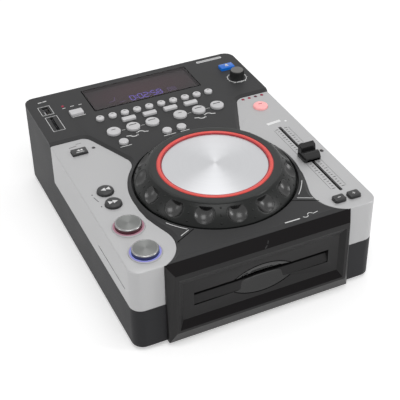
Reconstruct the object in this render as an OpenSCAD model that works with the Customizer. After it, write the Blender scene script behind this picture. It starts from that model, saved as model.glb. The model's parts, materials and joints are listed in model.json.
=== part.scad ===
// Tabletop disc player for DJs: slot-in drive, jog wheel, pitch slider and key field.
// X runs across the case, Y from front to back, Z up. The origin is on the table,
// under the middle of the case.

/* [Case] */
// Width of the case
body_w = 220; // [216:1:226]
// How much deeper than wide the case is, without the front bezel and the rear jacks
body_extra_d = 59; // [57:0.5:63]
// Height of the silver covers above the case's bottom edge
body_h = 78.5; // [77:0.5:82]
// Height of the black deck above the silver covers
deck_rise = 2; // [1.5:0.1:2.4]
// Thickness of the moulded walls
skin = 2.5; // [2:0.1:2.8]
// Radius of the case's upright corners
corner_r = 10; // [8:0.5:12]
// Height of the lower case's walls beside the silver covers
split_h = 39; // [36:0.5:40]
// Length of the black deck behind the silver covers
deck_len = 84; // [82:0.5:86]
// Height of the rubber feet
foot_h = 4; // [3:0.5:6]
// Diameter of the rubber feet
foot_d = 20; // [14:1:24]
// Distance of the feet from the case's sides
foot_in = 24; // [20:1:30]
// Diameter of the posts that join the case halves
post_d = 9; // [8.5:0.5:9.5]
// Diameter of the case screws' shanks
screw_d = 2.8; // [2.4:0.1:3.2]
// Diameter of the case screws' heads
screw_head_d = 5.5; // [5:0.1:6]

/* [Black centre panel] */
// Offset of the control field and the jog wheel from the case's centre line
field_x = 0.8; // [0:0.1:1.2]
// Distance of the panel's neck from the case's sides at the deck
neck_rear_in = 33.6; // [32:0.1:34.5]
// Distance of the panel's neck from the case's sides where it meets the surround
neck_front_in = 59.3; // [57:0.1:60]
// Width of black panel round the jog wheel's well
surround_w = 3.4; // [3:0.1:4]
// Radius of the silver lobes beside the bezel
lobe_r = 29.6; // [28.8:0.1:29.8]
// Distance of the lobes' centres from the case's sides
lobe_in = 17; // [16.8:0.1:18]
// Distance of the lobes' centres from the case's front
lobe_front = 27.5; // [27.2:0.1:28.4]
// Rounding of the silver covers' inner tips
tip_r = 15; // [10:0.5:16]
// Width of the sloping border round the black panel
border_w = 3; // [2:0.1:3.2]

/* [Jog wheel] */
// Distance of the jog wheel's edge from the case's front
jog_ahead = 15.6; // [15.2:0.1:18]
// Distance of the jog wheel's edge from the case's sides, before the field's offset
jog_side = 40.6; // [40.2:0.1:42]
// Ring-shaped gap round the jog wheel
jog_gap = 1.7; // [1.2:0.1:2.2]
// Height of the jog wheel's rim above the deck
jog_h = 15.5; // [14:0.5:17]
// Width of the jog wheel's sloping flank
jog_slope_w = 15.4; // [14:0.2:16.4]
// Width of the flat rim outside the light ring
rim_w = 4.5; // [3:0.1:5.5]
// Width of the light ring round the aluminium plate
ring_w = 4.3; // [3:0.1:5.5]
// Number of finger dimples
dimples = 15; // [12:1:18]
// Radius of the ball shape that makes a dimple
dimple_r = 11; // [10:0.5:14]
// Depth of the dimples
dimple_deep = 3.4; // [3:0.1:4.4]
// Diameter of the jog wheel's shaft
jog_shaft_d = 10; // [8:0.5:12]
// Depth of the jog wheel's well below the deck
well_h = 6; // [5.5:0.5:7]

/* [Keys] */
// Diameter of the ten track keys
track_key_d = 7.7; // [7:0.1:8.6]
// Spacing of the ten track keys
track_pitch = 12.3; // [11.8:0.1:12.6]
// Width of the four bar keys
bar_w = 13; // [11:0.5:14]
// Spacing of the four bar keys
bar_pitch = 20.9; // [19.5:0.1:21.5]
// Diameter of the six loop keys
loop_key_d = 12.9; // [12:0.1:14]
// Spacing of the loop keys in one group
loop_pitch = 19; // [18.5:0.1:19.6]
// Diameter of the three small mode keys
mode_key_d = 8.8; // [8.4:0.1:10]
// Diameter of the two search keys
search_key_d = 14.3; // [13.8:0.1:15.8]
// Diameter of the cue and play keys
play_key_d = 22; // [21.2:0.1:23.2]
// Distance of the left column of keys from the case's side
left_keys_in = 20.5; // [20.3:0.1:21]
// Travel of the small keys
key_travel = 1; // [0.8:0.1:1.1]
// Travel of the cue and play keys
play_travel = 1.5; // [1.2:0.1:1.6]
// Height of the small keys above their panel
key_rise = 2.6; // [2.2:0.1:4]
// Height of the cue and play keys above the silver cover
play_rise = 4.5; // [4:0.1:6]

/* [Pitch slider and knob] */
// Distance of the slider's slot from the case's side
slider_in = 20.5; // [20:0.5:21.5]
// Distance of the slot's middle from the case's front
slider_front = 79.5; // [79:0.5:81]
// Width of the slot
slider_slot_w = 3; // [2.6:0.1:3.4]
// Full travel of the slider
slider_travel = 100; // [96:1:100]
// Width of the slider's cap
cap_w = 17; // [15:0.5:18]
// Length of the slider's cap
cap_l = 15.4; // [14:0.1:16]
// Height of the slider's cap
cap_h = 11.6; // [10:0.1:13]
// Diameter of the knob's foot
knob_d = 14.4; // [13:0.1:16]
// Height of the knob
knob_h = 9; // [8:0.5:12]
// Diameter of the knob's shaft
knob_shaft_d = 6; // [5:0.5:7]

/* [Display and sockets] */
// Width of the display window
window_w = 109; // [107:1:110]
// Length of the display window
window_l = 40; // [39:0.5:41]
// Thickness of the display window
window_t = 1.5; // [1.2:0.1:1.6]
// Width of the ledge under the display window
ledge_w = 2; // [1.5:0.1:3]
// Length of the USB opening
usb_l = 13.4; // [13:0.1:14]
// Width of the USB opening
usb_w = 5.6; // [5.2:0.1:6]
// Length of the card opening
card_l = 25; // [24.6:0.1:25.4]
// Width of the card opening
card_w = 3; // [2.8:0.1:3.2]
// Distance of both openings' middle from the case's side
media_in = 15; // [14.5:0.1:15.5]
// Depth of the USB opening
usb_deep = 12; // [10:0.5:14]
// Diameter of the phono jacks
phono_d = 8.3; // [8.2:0.1:8.5]
// Length of the phono jacks outside the case
phono_out = 9; // [8:0.5:10]
// Height of the rear sockets above the case's bottom edge
rear_z = 26; // [24:0.5:28]

/* [Bezel and slot] */
// Distance of the bezel from the case's sides
bezel_in = 27; // [26:0.1:27.1]
// How far the bezel stands in front of the case
bezel_out = 9; // [8.5:0.1:10]
// Width of the bezel's sloping flanks
flank_w = 5.3; // [4.5:0.1:6]
// Height of the sloping strip at the bezel's top
strip_h = 6.5; // [5.5:0.5:8]
// Depth of the pocket in the bezel
pocket_deep = 3.5; // [3:0.1:3.8]
// Width of the disc slot
slot_w = 122; // [121.5:0.5:124]
// Height of the disc slot
slot_h = 5.2; // [5:0.1:5.6]
// Height of the slot's middle above the case's bottom edge
slot_z = 44.2; // [43.8:0.1:44.8]
// Half width of the thumb scoop at the edge of the slot's recess
scoop_half = 25.5; // [23:0.5:27]
// How far the thumb scoop reaches above and below the slot's recess
scoop_bow = 7.5; // [6:0.5:8]

/* [Disc drive] */
// Diameter of the disc
disc_d = 120; // [118:1:120]
// Height of the free path for the disc
path_h = 4.1; // [4.05:0.05:4.2]
// Thickness of the drive's sheet steel
sheet_t = 1.5; // [1.2:0.1:1.6]
// Diameter of the turntable
hub_d = 30; // [28:0.5:33]
// Diameter of the spindle
spindle_d = 2; // [1.8:0.1:2.4]
// Diameter of the load roller
roller_d = 8; // [7:0.1:8.5]
// Diameter of the roller's shaft, the guide rods and the lead screw
rod_d = 3; // [2.6:0.1:3.4]
// Travel of the pickup sled
sled_travel = 34; // [32:0.5:35]
// Diameter of the clamp's hole in the bridge
clamp_hole_d = 20; // [18:0.5:22]

/* [Fits] */
// Gap round keys and between covers
key_gap = 0.3; // [0.25:0.05:0.4]
// Radial gap of shafts that turn or slide
run_gap = 0.05; // [0.03:0.01:0.08]
// Gap above a piece that only rests against its stop
seat_gap = 0.3; // [0.2:0.05:0.4]
// Gap round fixed lenses and sockets
lens_gap = 0.1; // [0.05:0.05:0.15]

/* [Hidden] */
$fn = 96;
body_d = body_w + body_extra_d;
half_w = body_w / 2;
half_d = body_d / 2;
z_base = foot_h;
z_floor = z_base + skin;
z_wing = z_base + body_h;
z_wing_in = z_wing - skin;
z_deck = z_wing + deck_rise;
z_deck_in = z_deck - skin;
z_split = z_base + split_h;
wing_y = half_d - deck_len;
through = 1;

// Black panel: the neck's front corner and the steps of its lower flank,
// each as [distance from the case's side, distance from the jog wheel's axis]
neck_rear = half_w - neck_rear_in;
neck_front = half_w - neck_front_in;
neck_y_ahead = 50.5;
FLANK = [[36.5, 0], [36.3, -12], [37.7, -24.5], [40.8, -35.5], [44.5, -46.5]];
flank_end = FLANK[len(FLANK) - 1];
flank_turn = 17.3;

jog_x = field_x;
jog_r = half_w - jog_side;
jog_y = -half_d + jog_ahead + jog_r;
rim_r = jog_r - jog_slope_w;
ring_r = rim_r - rim_w;
plate_r = ring_r - ring_w;
well_r = jog_r + jog_gap;
surround_r = well_r + surround_w;
z_rim = z_deck + jog_h;
z_well = z_deck - well_h;
z_well_in = z_well - skin;
jog_skirt_z = z_deck - 2.5;
ring_t = 2;
ring_rise = 0.5;
hub_bearing_d = jog_shaft_d + 12;
encoder_d = 34;
encoder_t = 1;
hub_bearing_h = 4;
encoder_z = z_well_in - hub_bearing_h - seat_gap - encoder_t;

// Key rows, measured from the case's rear and front
track_y = half_d - 63.5;
bar_y = half_d - 75;
loop_y = half_d - 90;
mode_y = half_d - 109.5;
left_x = -half_w + left_keys_in;
cue_y = -half_d + 57;
play_y = -half_d + 21.7;
search_back_y = -half_d + 109.5;
search_ahead_y = -half_d + 90.4;
skip_y = wing_y - 20.2;
bend_y = -half_d + 14.5;
pitch_key_x = half_w - 19.3;
pitch_key_y = wing_y - 22;
slider_x = half_w - slider_in;
slider_y = -half_d + slider_front;
slider_len = slider_travel + 9;
source_x = field_x - window_w / 2 - 17.1;
knob_x = half_w - 16.4;
knob_y = half_d - 50.5;
play_ring_w = 2.2;
play_ring_flange = 1.4;
play_ring_rise = 0.8;

// Each key: name, x, y, panel height, width, length, corner radius, rise, travel, colour
function round_key(name, x, y, z, d, rise, travel, tint) =
    [name, x, y, z, d, d, d / 2, rise, travel, tint];
KEYS = concat(
    [for (i = [0:9]) round_key(str("track_key_", i + 1), field_x + (i - 4.5) * track_pitch,
        track_y, z_deck, track_key_d, key_rise, key_travel, "gainsboro")],
    [for (i = [0:3]) [str("bar_key_", i + 1), field_x + (i - 1.5) * bar_pitch, bar_y, z_deck,
        bar_w, 5.6, 1, key_rise, key_travel, "gainsboro"]],
    [for (i = [0:5]) round_key(str("loop_key_", i + 1),
        field_x + (i < 3 ? i - 3 : i - 2) * loop_pitch + (i < 3 ? 5 : -5),
        loop_y, z_deck, loop_key_d, key_rise, key_travel, "gainsboro")],
    [for (i = [0:2]) round_key(str("mode_key_", i + 1),
        field_x + [-49.9, -7.7, 6.6][i], mode_y, z_deck, mode_key_d, key_rise, key_travel,
        "gainsboro")],
    [
        ["source_key", source_x, half_d - 43.5, z_deck, 12.5, 8.2, 1, key_rise, key_travel,
            "gainsboro"],
        ["eject_key", half_w - 17.2, half_d - 28.7, z_deck, 14.5, 8.8, 1, key_rise + 0.6,
            key_travel, "dodgerblue"],
        round_key("pitch_key", pitch_key_x, pitch_key_y, z_wing, 13.6, key_rise, key_travel,
            "lightpink"),
        ["bend_minus_key", half_w - 29.4, bend_y, z_wing, 10.5, 8, 2, key_rise, key_travel,
            "dimgray"],
        ["bend_plus_key", half_w - 15.4, bend_y, z_wing, 10.5, 8, 2, key_rise, key_travel,
            "dimgray"],
        ["skip_key", left_x, skip_y, z_wing, 14, 8.6, 0.8, key_rise - 0.6, key_travel, "dimgray"],
        round_key("search_back_key", left_x, search_back_y, z_wing, search_key_d, key_rise,
            key_travel, "dimgray"),
        round_key("search_ahead_key", left_x, search_ahead_y, z_wing, search_key_d, key_rise,
            key_travel, "dimgray"),
        round_key("cue_key", left_x, cue_y, z_wing, play_key_d, play_rise, play_travel, "silver"),
        round_key("play_key", left_x, play_y, z_wing, play_key_d, play_rise, play_travel,
            "silver")
    ]
);
function ringed(key) = key[0] == "cue_key" || key[0] == "play_key";
flange_w = 1;
flange_t = 0.8;
stem_d = 3.2;

// Small lamps: x, y, panel height
LAMPS = concat(
    [[source_x - 8, half_d - 26.4, z_deck], [left_x + 14, skip_y + 1.8, z_wing],
        [half_w - 5.5, slider_y + 3.4, z_wing]],
    [for (i = [0:3]) [half_w - 28.5 + i * 6.7, wing_y - 3.6, z_wing]]
);
lamp_d = 3;

// Boards under the panels
board_t = 1.6;
z_board = z_wing_in - 9;
switch_w = 6;
switch_body_h = 3.5;
switch_top_h = 4.9;
board_post_d = 6;
// Each rectangle of board: low x, low y, high x, high y. The first three are one board.
board_neck = 62;
board_post_x = 28;
KEY_BOARDS = [
    [-half_w + 26, loop_y - 4, half_w - 26, half_d - 17],
    [half_w - 27, knob_y - 12, half_w - 4, half_d - 17],
    [-board_neck, mode_y - 8, board_neck, loop_y],
    [left_x - 5, -half_d + 7, left_x + 12, skip_y + 6],
    [half_w - 36, -half_d + 7, half_w - 12, pitch_key_y + 9]
];
// Each hanging post: x, y, underside that it hangs from
BOARD_POSTS = [
    [-board_post_x, mode_y + 2, z_deck_in], [board_post_x, mode_y + 2, z_deck_in],
    [-half_w + 29, half_d - 33.5, z_deck_in], [half_w - 36, half_d - 22, z_deck_in],
    [left_x + 8.5, skip_y - 20, z_wing_in], [left_x + 8.5, -half_d + 77, z_wing_in],
    [half_w - 32.5, -half_d + 24, z_wing_in], [half_w - 32.5, pitch_key_y - 6, z_wing_in]
];

// Posts that join the lower case to the covers: x, y, underside that they carry
CASE_POSTS = [
    [-half_w + 6.5, (cue_y + play_y) / 2, z_wing_in], [half_w - 6.5, -half_d + 25, z_wing_in],
    [-half_w + 6.5, wing_y - 25, z_wing_in], [half_w - 6.5, wing_y - 25, z_wing_in],
    [-half_w + 8.5, half_d - 8.5, z_deck_in], [half_w - 8.5, half_d - 8.5, z_deck_in],
    [-half_w + 8.5, wing_y + 8, z_deck_in], [half_w - 8.5, wing_y + 8, z_deck_in]
];
screw_seat = z_split - 6;
screw_len = 14;
screw_head_h = 1.8;
FEET = [for (sx = [-1, 1], sy = [-1, 1]) [sx * (half_w - foot_in), sy * (half_d - foot_in)]];

// Display, with the module that hangs under it
window_y = half_d - 27.8;
module_h = 5;

// USB and card sockets
media_x = -half_w + media_in;
usb_y = half_d - 27.5;
card_y = half_d - 53;
usb_wall = 0.4;
card_deep = 21;

// Rear panel
PHONO_X = [for (d = [48, 62, 80]) -half_w + d];
MINI_X = [for (d = [98, 112]) -half_w + d];
inlet_x = half_w - 52;
inlet_w = 17;
inlet_h = 9;
rocker_x = half_w - 22;
rocker_w = 10.4;
rocker_half = 8;
rocker_tilt = 9;
z_rear = z_base + rear_z;
socket_in = 12;

// Bezel
bezel_y = -half_d - bezel_out;
bezel_half = half_w - bezel_in;
rim_half = bezel_half - flank_w;
rim_low = z_base + 12;
rim_high = z_wing - strip_h;
bezel_chin = 4.3;
pocket_y = bezel_y + pocket_deep;
pocket_half = rim_half - 2.7;
pocket_low = rim_low + 2.5;
pocket_high = rim_high - 5;
flare = 4.5;
z_slot = z_base + slot_z;
slot_low = z_slot - slot_h / 2;
slot_high = z_slot + slot_h / 2;
lip_drop = 8;
lip_step = 1;
lip_rise = 0.4;
lip_deep = 3;
recess_low = slot_low - lip_drop;
scoop_arc = (scoop_half * scoop_half + scoop_bow * scoop_bow) / (2 * scoop_bow);
scoop_rise = 7;
scoop_ball = (scoop_arc * scoop_arc + scoop_rise * scoop_rise) / (2 * scoop_rise);
band_low = recess_low - scoop_bow - skin;
band_high = slot_high + scoop_bow + skin;

// Disc drive
spindle_y = -half_d + 73.5;
z_path = z_slot - path_h / 2;
drive_half = 72;
drive_front = -half_d + 5.5;
drive_rear = spindle_y + disc_d / 2 + 12;
z_drive = z_path - 16.3;
z_bridge = z_drive + 28;
motor_r = 12;
motor_h = 6.5;
hub_z = z_path - 2;
roller_y = -half_d + 13.5;
roller_z = z_path - 0.1 - roller_d / 2;
roller_half = 59;
rail_z = z_drive + sheet_t + 5.5;
rail_x = 12;
screw_x = 20;
block_t = 3;
block_front = spindle_y + motor_r + 1;
sled_l = 16;
sled_rest = block_front + block_t + seat_gap + sled_l / 2;
block_rear = sled_rest + sled_travel + sled_l / 2 + 0.7;
clamp_d = 28;

// The boards on the case's floor: low x, low y, high x, high y
low_board_z = z_floor + 5.5;
LOW_BOARDS = [
    [-half_w + 18, drive_rear + 12, 22, half_d - 16],
    [32, drive_rear + 12, half_w - 18, half_d - 16]
];

function key_names() = [for (k = KEYS) k[0]];

// ---------- plain shapes ----------

// A rectangle with round corners, centred
module round_plate(w, l, r) {
    square([w - 2 * r, l], center = true);
    square([w, l - 2 * r], center = true);
    for (sx = [-1, 1], sy = [-1, 1])
        translate([sx * (w / 2 - r), sy * (l / 2 - r)]) circle(r);
}

// A key's outline, grown by g
module key_outline(key, g = 0) {
    w = key[4] + 2 * g;
    if (key[6] * 2 >= key[4]) circle(d = w);
    else round_plate(w, key[5] + 2 * g, key[6] + g);
}

// A slab between two heights
module slab(z0, z1) {
    translate([0, 0, z0]) linear_extrude(z1 - z0) children();
}

// A box from its low corner to its high corner
module block(low, high) {
    translate(low) cube(high - low);
}

// A rod along Y
module rod_y(x, z, y0, y1, d) {
    translate([x, y0, z]) rotate([-90, 0, 0]) cylinder(d = d, h = y1 - y0);
}

// A rod along X
module rod_x(y, z, x0, x1, d) {
    translate([x0, y, z]) rotate([0, 90, 0]) cylinder(d = d, h = x1 - x0);
}

// ---------- the case's outlines ----------

// The case's plan, grown by g
module case_plan(g = 0) {
    round_plate(body_w + 2 * g, body_d + 2 * g, corner_r + g);
}

// The convex parts of the black panel's plan, each grown by g
module neck_plan(g) {
    polygon([[-neck_rear - g, wing_y], [-neck_front - g, jog_y + neck_y_ahead],
        [neck_front + g, jog_y + neck_y_ahead], [neck_rear + g, wing_y],
        [neck_rear + g, wing_y + 2 * border_w], [-neck_rear - g, wing_y + 2 * border_w]]);
}

// The flank narrows on its way down to the bezel, so that it stays convex
module flank_plan(g) {
    right = concat([for (p = FLANK) [half_w - p[0] + g, jog_y + p[1]]],
        [[half_w - flank_end[0] - flank_turn + g, -half_d - g]]);
    left = [for (i = [len(right) - 1:-1:0]) [-right[i][0], right[i][1]]];
    polygon(concat(right, left));
}

module foot_plan(g) {
    translate([-bezel_half, -half_d - g])
        square([2 * bezel_half, half_d + jog_y + flank_end[1] + g]);
}

module rear_plan(g) {
    translate([-half_w, wing_y - g]) square([body_w, deck_len + g]);
}

// Centre of the rounding where the neck meets the jog wheel's surround, drawn for the
// right side: it lies tip_r off the neck's edge and tip_r off the surround. For the left
// side, which is mirrored, wheel_x is the wheel's mirrored place.
function neck_dir() = let (d = [neck_rear - neck_front, wing_y - jog_y - neck_y_ahead])
    d / norm(d);
function tip_centre(wheel_x) = let (
    d = neck_dir(),
    start = [neck_front, jog_y + neck_y_ahead] + tip_r * [d[1], -d[0]] - [wheel_x, jog_y],
    b = start * d,
    c = start * start - (surround_r + tip_r) * (surround_r + tip_r),
    t = -b + sqrt(b * b - c)
) start + t * d + [wheel_x, jog_y];
function wheel_place(s) = s == 0 ? jog_x : -jog_x;

// Centre of the rounding where the neck meets the deck, right side
deck_tip_r = 10.5;
function deck_tip_centre() = let (
    d = neck_dir(),
    start = [neck_rear, wing_y] + deck_tip_r * [d[1], -d[0]],
    t = (wing_y - deck_tip_r - start[1]) / d[1]
) start + t * d;

// How far the fillings reach into the panel, past its sloping border
border_reach = border_w + key_gap + 1;
// How many degrees short of its two ends a rounding's filling stops
tip_trim = 3;
function turn(v, a) = [v[0] * cos(a) - v[1] * sin(a), v[0] * sin(a) + v[1] * cos(a)];

// The corner that each rounding fills, right side
module tip_fill(wheel_x) {
    f = tip_centre(wheel_x);
    d = neck_dir();
    reach = tip_r + border_reach;
    in_neck = f - reach * turn([d[1], -d[0]], tip_trim);
    away = [wheel_x, jog_y] - f;
    in_ring = f + reach * turn(away / norm(away), -tip_trim);
    polygon([f, in_neck, in_neck - tip_r / 2 * d - [tip_r, 0], in_ring]);
}

module deck_tip_fill() {
    f = deck_tip_centre();
    d = neck_dir();
    in_neck = f - (deck_tip_r + border_reach) * [d[1], -d[0]];
    y = wing_y + border_reach;
    polygon([f, in_neck, [in_neck[0], y], [f[0], y]]);
}

// The black panel's plan in front of the deck and the deck itself, grown by g
module panel_plan(g = 0) {
    intersection() {
        case_plan();
        union() {
            rear_plan(g);
            neck_plan(g);
            flank_plan(g);
            translate([jog_x, jog_y]) circle(surround_r + g);
            difference() {
                foot_plan(g);
                for (s = [-1, 1])
                    translate([s * (half_w - lobe_in), -half_d + lobe_front])
                        circle(lobe_r - g);
            }
            for (s = [0, 1]) mirror([s, 0]) {
                difference() {
                    tip_fill(wheel_place(s));
                    translate(tip_centre(wheel_place(s))) circle(tip_r - g);
                }
                difference() {
                    deck_tip_fill();
                    translate(deck_tip_centre()) circle(deck_tip_r - g);
                }
            }
        }
    }
}

// A convex plan that slopes inwards by border_w on its way up
module sloped(z0, z1) {
    hull() {
        translate([0, 0, z0]) linear_extrude(0.01) children(0);
        translate([0, 0, z1 - 0.01]) linear_extrude(0.01) children(1);
    }
}

// The raised, sloping top of the black panel
module panel_top(z0, z1) {
    g0 = -key_gap;
    g1 = -key_gap - border_w;
    intersection() {
        slab(z0, z1) case_plan();
        union() {
            sloped(z0, z1) {
                rear_plan(g0);
                rear_plan(g1);
            }
            sloped(z0, z1) {
                neck_plan(g0);
                neck_plan(g1);
            }
            sloped(z0, z1) {
                flank_plan(g0);
                flank_plan(g1);
            }
            translate([jog_x, jog_y, z0])
                cylinder(r1 = surround_r + g0, r2 = surround_r + g1, h = z1 - z0);
            difference() {
                sloped(z0, z1) {
                    foot_plan(g0);
                    foot_plan(g1);
                }
                for (s = [-1, 1])
                    translate([s * (half_w - lobe_in), -half_d + lobe_front, z0])
                        cylinder(r1 = lobe_r - g0, r2 = lobe_r - g1, h = z1 - z0);
            }
            for (s = [0, 1]) mirror([s, 0, 0]) {
                difference() {
                    slab(z0, z1) tip_fill(wheel_place(s));
                    translate(concat(tip_centre(wheel_place(s)), z0))
                        cylinder(r1 = tip_r - g0, r2 = tip_r - g1, h = z1 - z0);
                }
                difference() {
                    slab(z0, z1) deck_tip_fill();
                    translate(concat(deck_tip_centre(), z0))
                        cylinder(r1 = deck_tip_r - g0, r2 = deck_tip_r - g1, h = z1 - z0);
                }
            }
        }
    }
}

// ---------- openings shared by the covers ----------

// Holes for the keys, lamps and the play rings in the panel at height z
module key_holes(z) {
    for (k = KEYS) if (k[3] == z && !ringed(k))
        translate([k[1], k[2], z - skin - through])
            linear_extrude(skin + 2 * through) key_outline(k, key_gap);
    for (k = KEYS) if (k[3] == z && ringed(k))
        translate([k[1], k[2], z - skin - through])
            cylinder(d = ring_outer_d() + 2 * lens_gap, h = skin + 2 * through);
    for (p = LAMPS) if (p[2] == z)
        translate([p[0], p[1], z - skin - through])
            cylinder(d = lamp_d + 2 * lens_gap, h = skin + 2 * through);
}

function ring_inner_d() = play_key_d + 2 * key_gap;
function ring_outer_d() = ring_inner_d() + 2 * play_ring_w;

// Posts that hang the boards from the underside at height z
module board_posts(z) {
    for (p = BOARD_POSTS) if (p[2] == z)
        translate([p[0], p[1], z_board]) cylinder(d = board_post_d, h = z - z_board);
}

// The upper halves of the case posts under the cover at height z
module upper_posts(z) {
    for (p = CASE_POSTS) if (p[2] == z) translate([p[0], p[1], 0]) difference() {
        slab(z_split, z) circle(d = post_d);
        slab(z_split - through, screw_seat + screw_len + through)
            circle(d = screw_d + 2 * lens_gap);
    }
}

// ---------- casings ----------

module lower_case() {
    color("dimgray") difference() {
        union() {
            difference() {
                union() {
                    slab(z_base, z_split) case_plan();
                    intersection() {
                        slab(z_base, z_deck_in) case_plan();
                        block([-half_w, wing_y, z_base], [half_w, half_d, z_deck_in]);
                    }
                }
                slab(z_floor, z_deck_in + through) case_plan(-skin);
            }
            for (p = CASE_POSTS)
                translate([p[0], p[1], z_base]) cylinder(d = post_d, h = z_split - z_base);
            for (p = drive_posts())
                translate([p[0], p[1], z_base]) cylinder(d = post_d, h = z_drive - z_base);
            for (p = board_feet()) translate([p[0], p[1], z_base])
                cylinder(d = board_post_d, h = low_board_z - z_base);
        }
        for (p = CASE_POSTS) translate([p[0], p[1], 0]) {
            slab(z_base - through, z_split + through) circle(d = screw_d + 2 * lens_gap);
            slab(z_base - through, screw_seat) circle(d = screw_head_d + 2 * key_gap);
        }
        rear_cuts();
    }
}

function drive_posts() = [for (sx = [-1, 1], y = [drive_front + 6, drive_rear - 6])
    [sx * (drive_half - 6), y]];
function board_feet() =
    [for (b = LOW_BOARDS, x = [b[0] + 5, b[2] - 5], y = [b[1] + 5, b[3] - 5]) [x, y]];

// Openings in the rear wall
module rear_cuts() {
    y0 = half_d - skin - through;
    y1 = half_d + through;
    for (x = PHONO_X) rod_y(x, z_rear, y0, y1, phono_d + 2 * lens_gap);
    for (x = MINI_X) rod_y(x, z_rear, y0, y1, 6 + 2 * lens_gap);
    block([inlet_x - inlet_w / 2 - 1.5 - lens_gap, y0, z_rear - inlet_h / 2 - 1.5 - lens_gap],
        [inlet_x + inlet_w / 2 + 1.5 + lens_gap, y1, z_rear + inlet_h / 2 + 1.5 + lens_gap]);
    block([rocker_x - rocker_w / 2 - 1.5 - lens_gap, y0, z_rear - rocker_half - 2.5 - lens_gap],
        [rocker_x + rocker_w / 2 + 1.5 + lens_gap, y1, z_rear + rocker_half + 2.5 + lens_gap]);
}

module top_panel() {
    color("#3c3c3c") difference() {
        union() {
            difference() {
                union() {
                    panel_top(z_wing, z_deck);
                    slab(z_wing_in, z_wing) panel_plan(-key_gap);
                }
                slab(z_wing_in - through, z_deck_in) difference() {
                    panel_plan(-key_gap - 3.2);
                    translate([jog_x, jog_y]) circle(well_r + skin - 0.01);
                }
                block([-half_w - through, wing_y, z_wing_in - through],
                    [half_w + through, half_d + through, z_deck_in]);
            }
            translate([jog_x, jog_y, z_well_in])
                cylinder(r = well_r + skin, h = z_deck_in - z_well_in);
            translate([jog_x, jog_y, z_well_in - hub_bearing_h])
                cylinder(d = hub_bearing_d, h = hub_bearing_h + skin / 2);
            board_posts(z_deck_in);
            upper_posts(z_deck_in);
        }
        translate([jog_x, jog_y, z_well]) cylinder(r = well_r, h = well_h + through);
        translate([jog_x, jog_y, z_well_in - 5])
            cylinder(d = jog_shaft_d + 2 * run_gap, h = 20);
        key_holes(z_deck);
        slab(z_deck - window_t, z_deck + through) translate([field_x, window_y])
            square([window_w + 2 * lens_gap, window_l + 2 * lens_gap], center = true);
        slab(z_deck_in - through, z_deck + through) translate([field_x, window_y])
            square([window_w - 2 * ledge_w, window_l - 2 * ledge_w], center = true);
        translate([media_x, usb_y, z_deck_in - through])
            linear_extrude(skin + 2 * through) square([usb_w, usb_l], center = true);
        translate([media_x, card_y, z_deck_in - through])
            linear_extrude(skin + 2 * through) square([card_w, card_l], center = true);
        translate([knob_x, knob_y, z_deck_in - through])
            cylinder(d = knob_shaft_d + 2 * key_gap, h = skin + 2 * through);
    }
}

// One silver cover, on the side where x has the sign s
module cover(s) {
    difference() {
        union() {
            difference() {
                slab(z_split, z_wing) intersection() {
                    case_plan();
                    translate([s > 0 ? 0 : -half_w, -half_d])
                        square([half_w, wing_y - key_gap + half_d]);
                    difference() {
                        square([2 * body_w, 2 * body_d], center = true);
                        panel_plan();
                    }
                }
                slab(z_split - through, z_wing_in) case_plan(-skin);
                block([-bezel_half, -half_d - through, z_split - through],
                    [bezel_half, -half_d + skin + through, z_wing_in]);
            }
            intersection() {
                union() {
                    board_posts(z_wing_in);
                    upper_posts(z_wing_in);
                }
                block([s > 0 ? 0 : -half_w, -half_d, 0], [s > 0 ? half_w : 0, half_d, z_wing]);
            }
        }
        key_holes(z_wing);
        if (s > 0)
            slab(z_wing_in - through, z_wing + through) translate([slider_x, slider_y])
                round_plate(slider_slot_w, slider_len, slider_slot_w / 2 - 0.01);
    }
}

module left_cover() {
    color("silver") cover(-1);
}

module right_cover() {
    color("silver") cover(1);
}

// ---------- bezel ----------

module bezel_block() {
    hull() {
        block([-bezel_half, -half_d - 0.01, z_base], [bezel_half, -half_d, z_wing]);
        block([-rim_half, bezel_y, rim_low], [rim_half, bezel_y + 0.01, rim_high]);
        block([-bezel_half + 0.2, -half_d - bezel_chin, z_base],
            [bezel_half - 0.2, -half_d - bezel_chin + 0.01, z_base + 0.01]);
    }
}

module slot_bezel() {
    color("#2b2a2b") difference() {
        bezel_block();
        hull() {
            block([-pocket_half, bezel_y - through, pocket_low],
                [pocket_half, bezel_y, pocket_high]);
            block([-pocket_half + flare, pocket_y - 0.01, pocket_low + flare * 1.6],
                [pocket_half - flare, pocket_y, pocket_high - flare * 1.6]);
        }
        block([-slot_w / 2, bezel_y, slot_low], [slot_w / 2, -half_d + through, slot_high]);
        translate([-slot_w / 2, 0, 0]) rotate([90, 0, 90]) linear_extrude(slot_w)
            polygon([[pocket_y - 0.01, recess_low], [pocket_y + lip_step, recess_low + lip_rise],
                [pocket_y + lip_deep, slot_low], [pocket_y + lip_deep, slot_low + 0.01],
                [pocket_y - 0.01, slot_low + 0.01]]);
        scoop_cut();
        for (z = [[z_base + 3, band_low], [band_high, rim_high - skin]])
            block([-bezel_half + 6, pocket_y + skin, z[0]],
                [bezel_half - 6, -half_d + through, z[1]]);
    }
}

// The thumb scoop: a lens-shaped dish that crosses the slot, where two large balls meet
module scoop_cut() {
    y = pocket_y + scoop_rise - scoop_ball;
    intersection() {
        translate([0, y, recess_low - scoop_bow + scoop_arc]) sphere(scoop_ball);
        translate([0, y, slot_high + scoop_bow - scoop_arc]) sphere(scoop_ball);
    }
}

// ---------- display, sockets and lamps ----------

module display_window() {
    color("#4a3a42") slab(z_deck - window_t, z_deck) translate([field_x, window_y])
        square([window_w, window_l], center = true);
}

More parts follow.
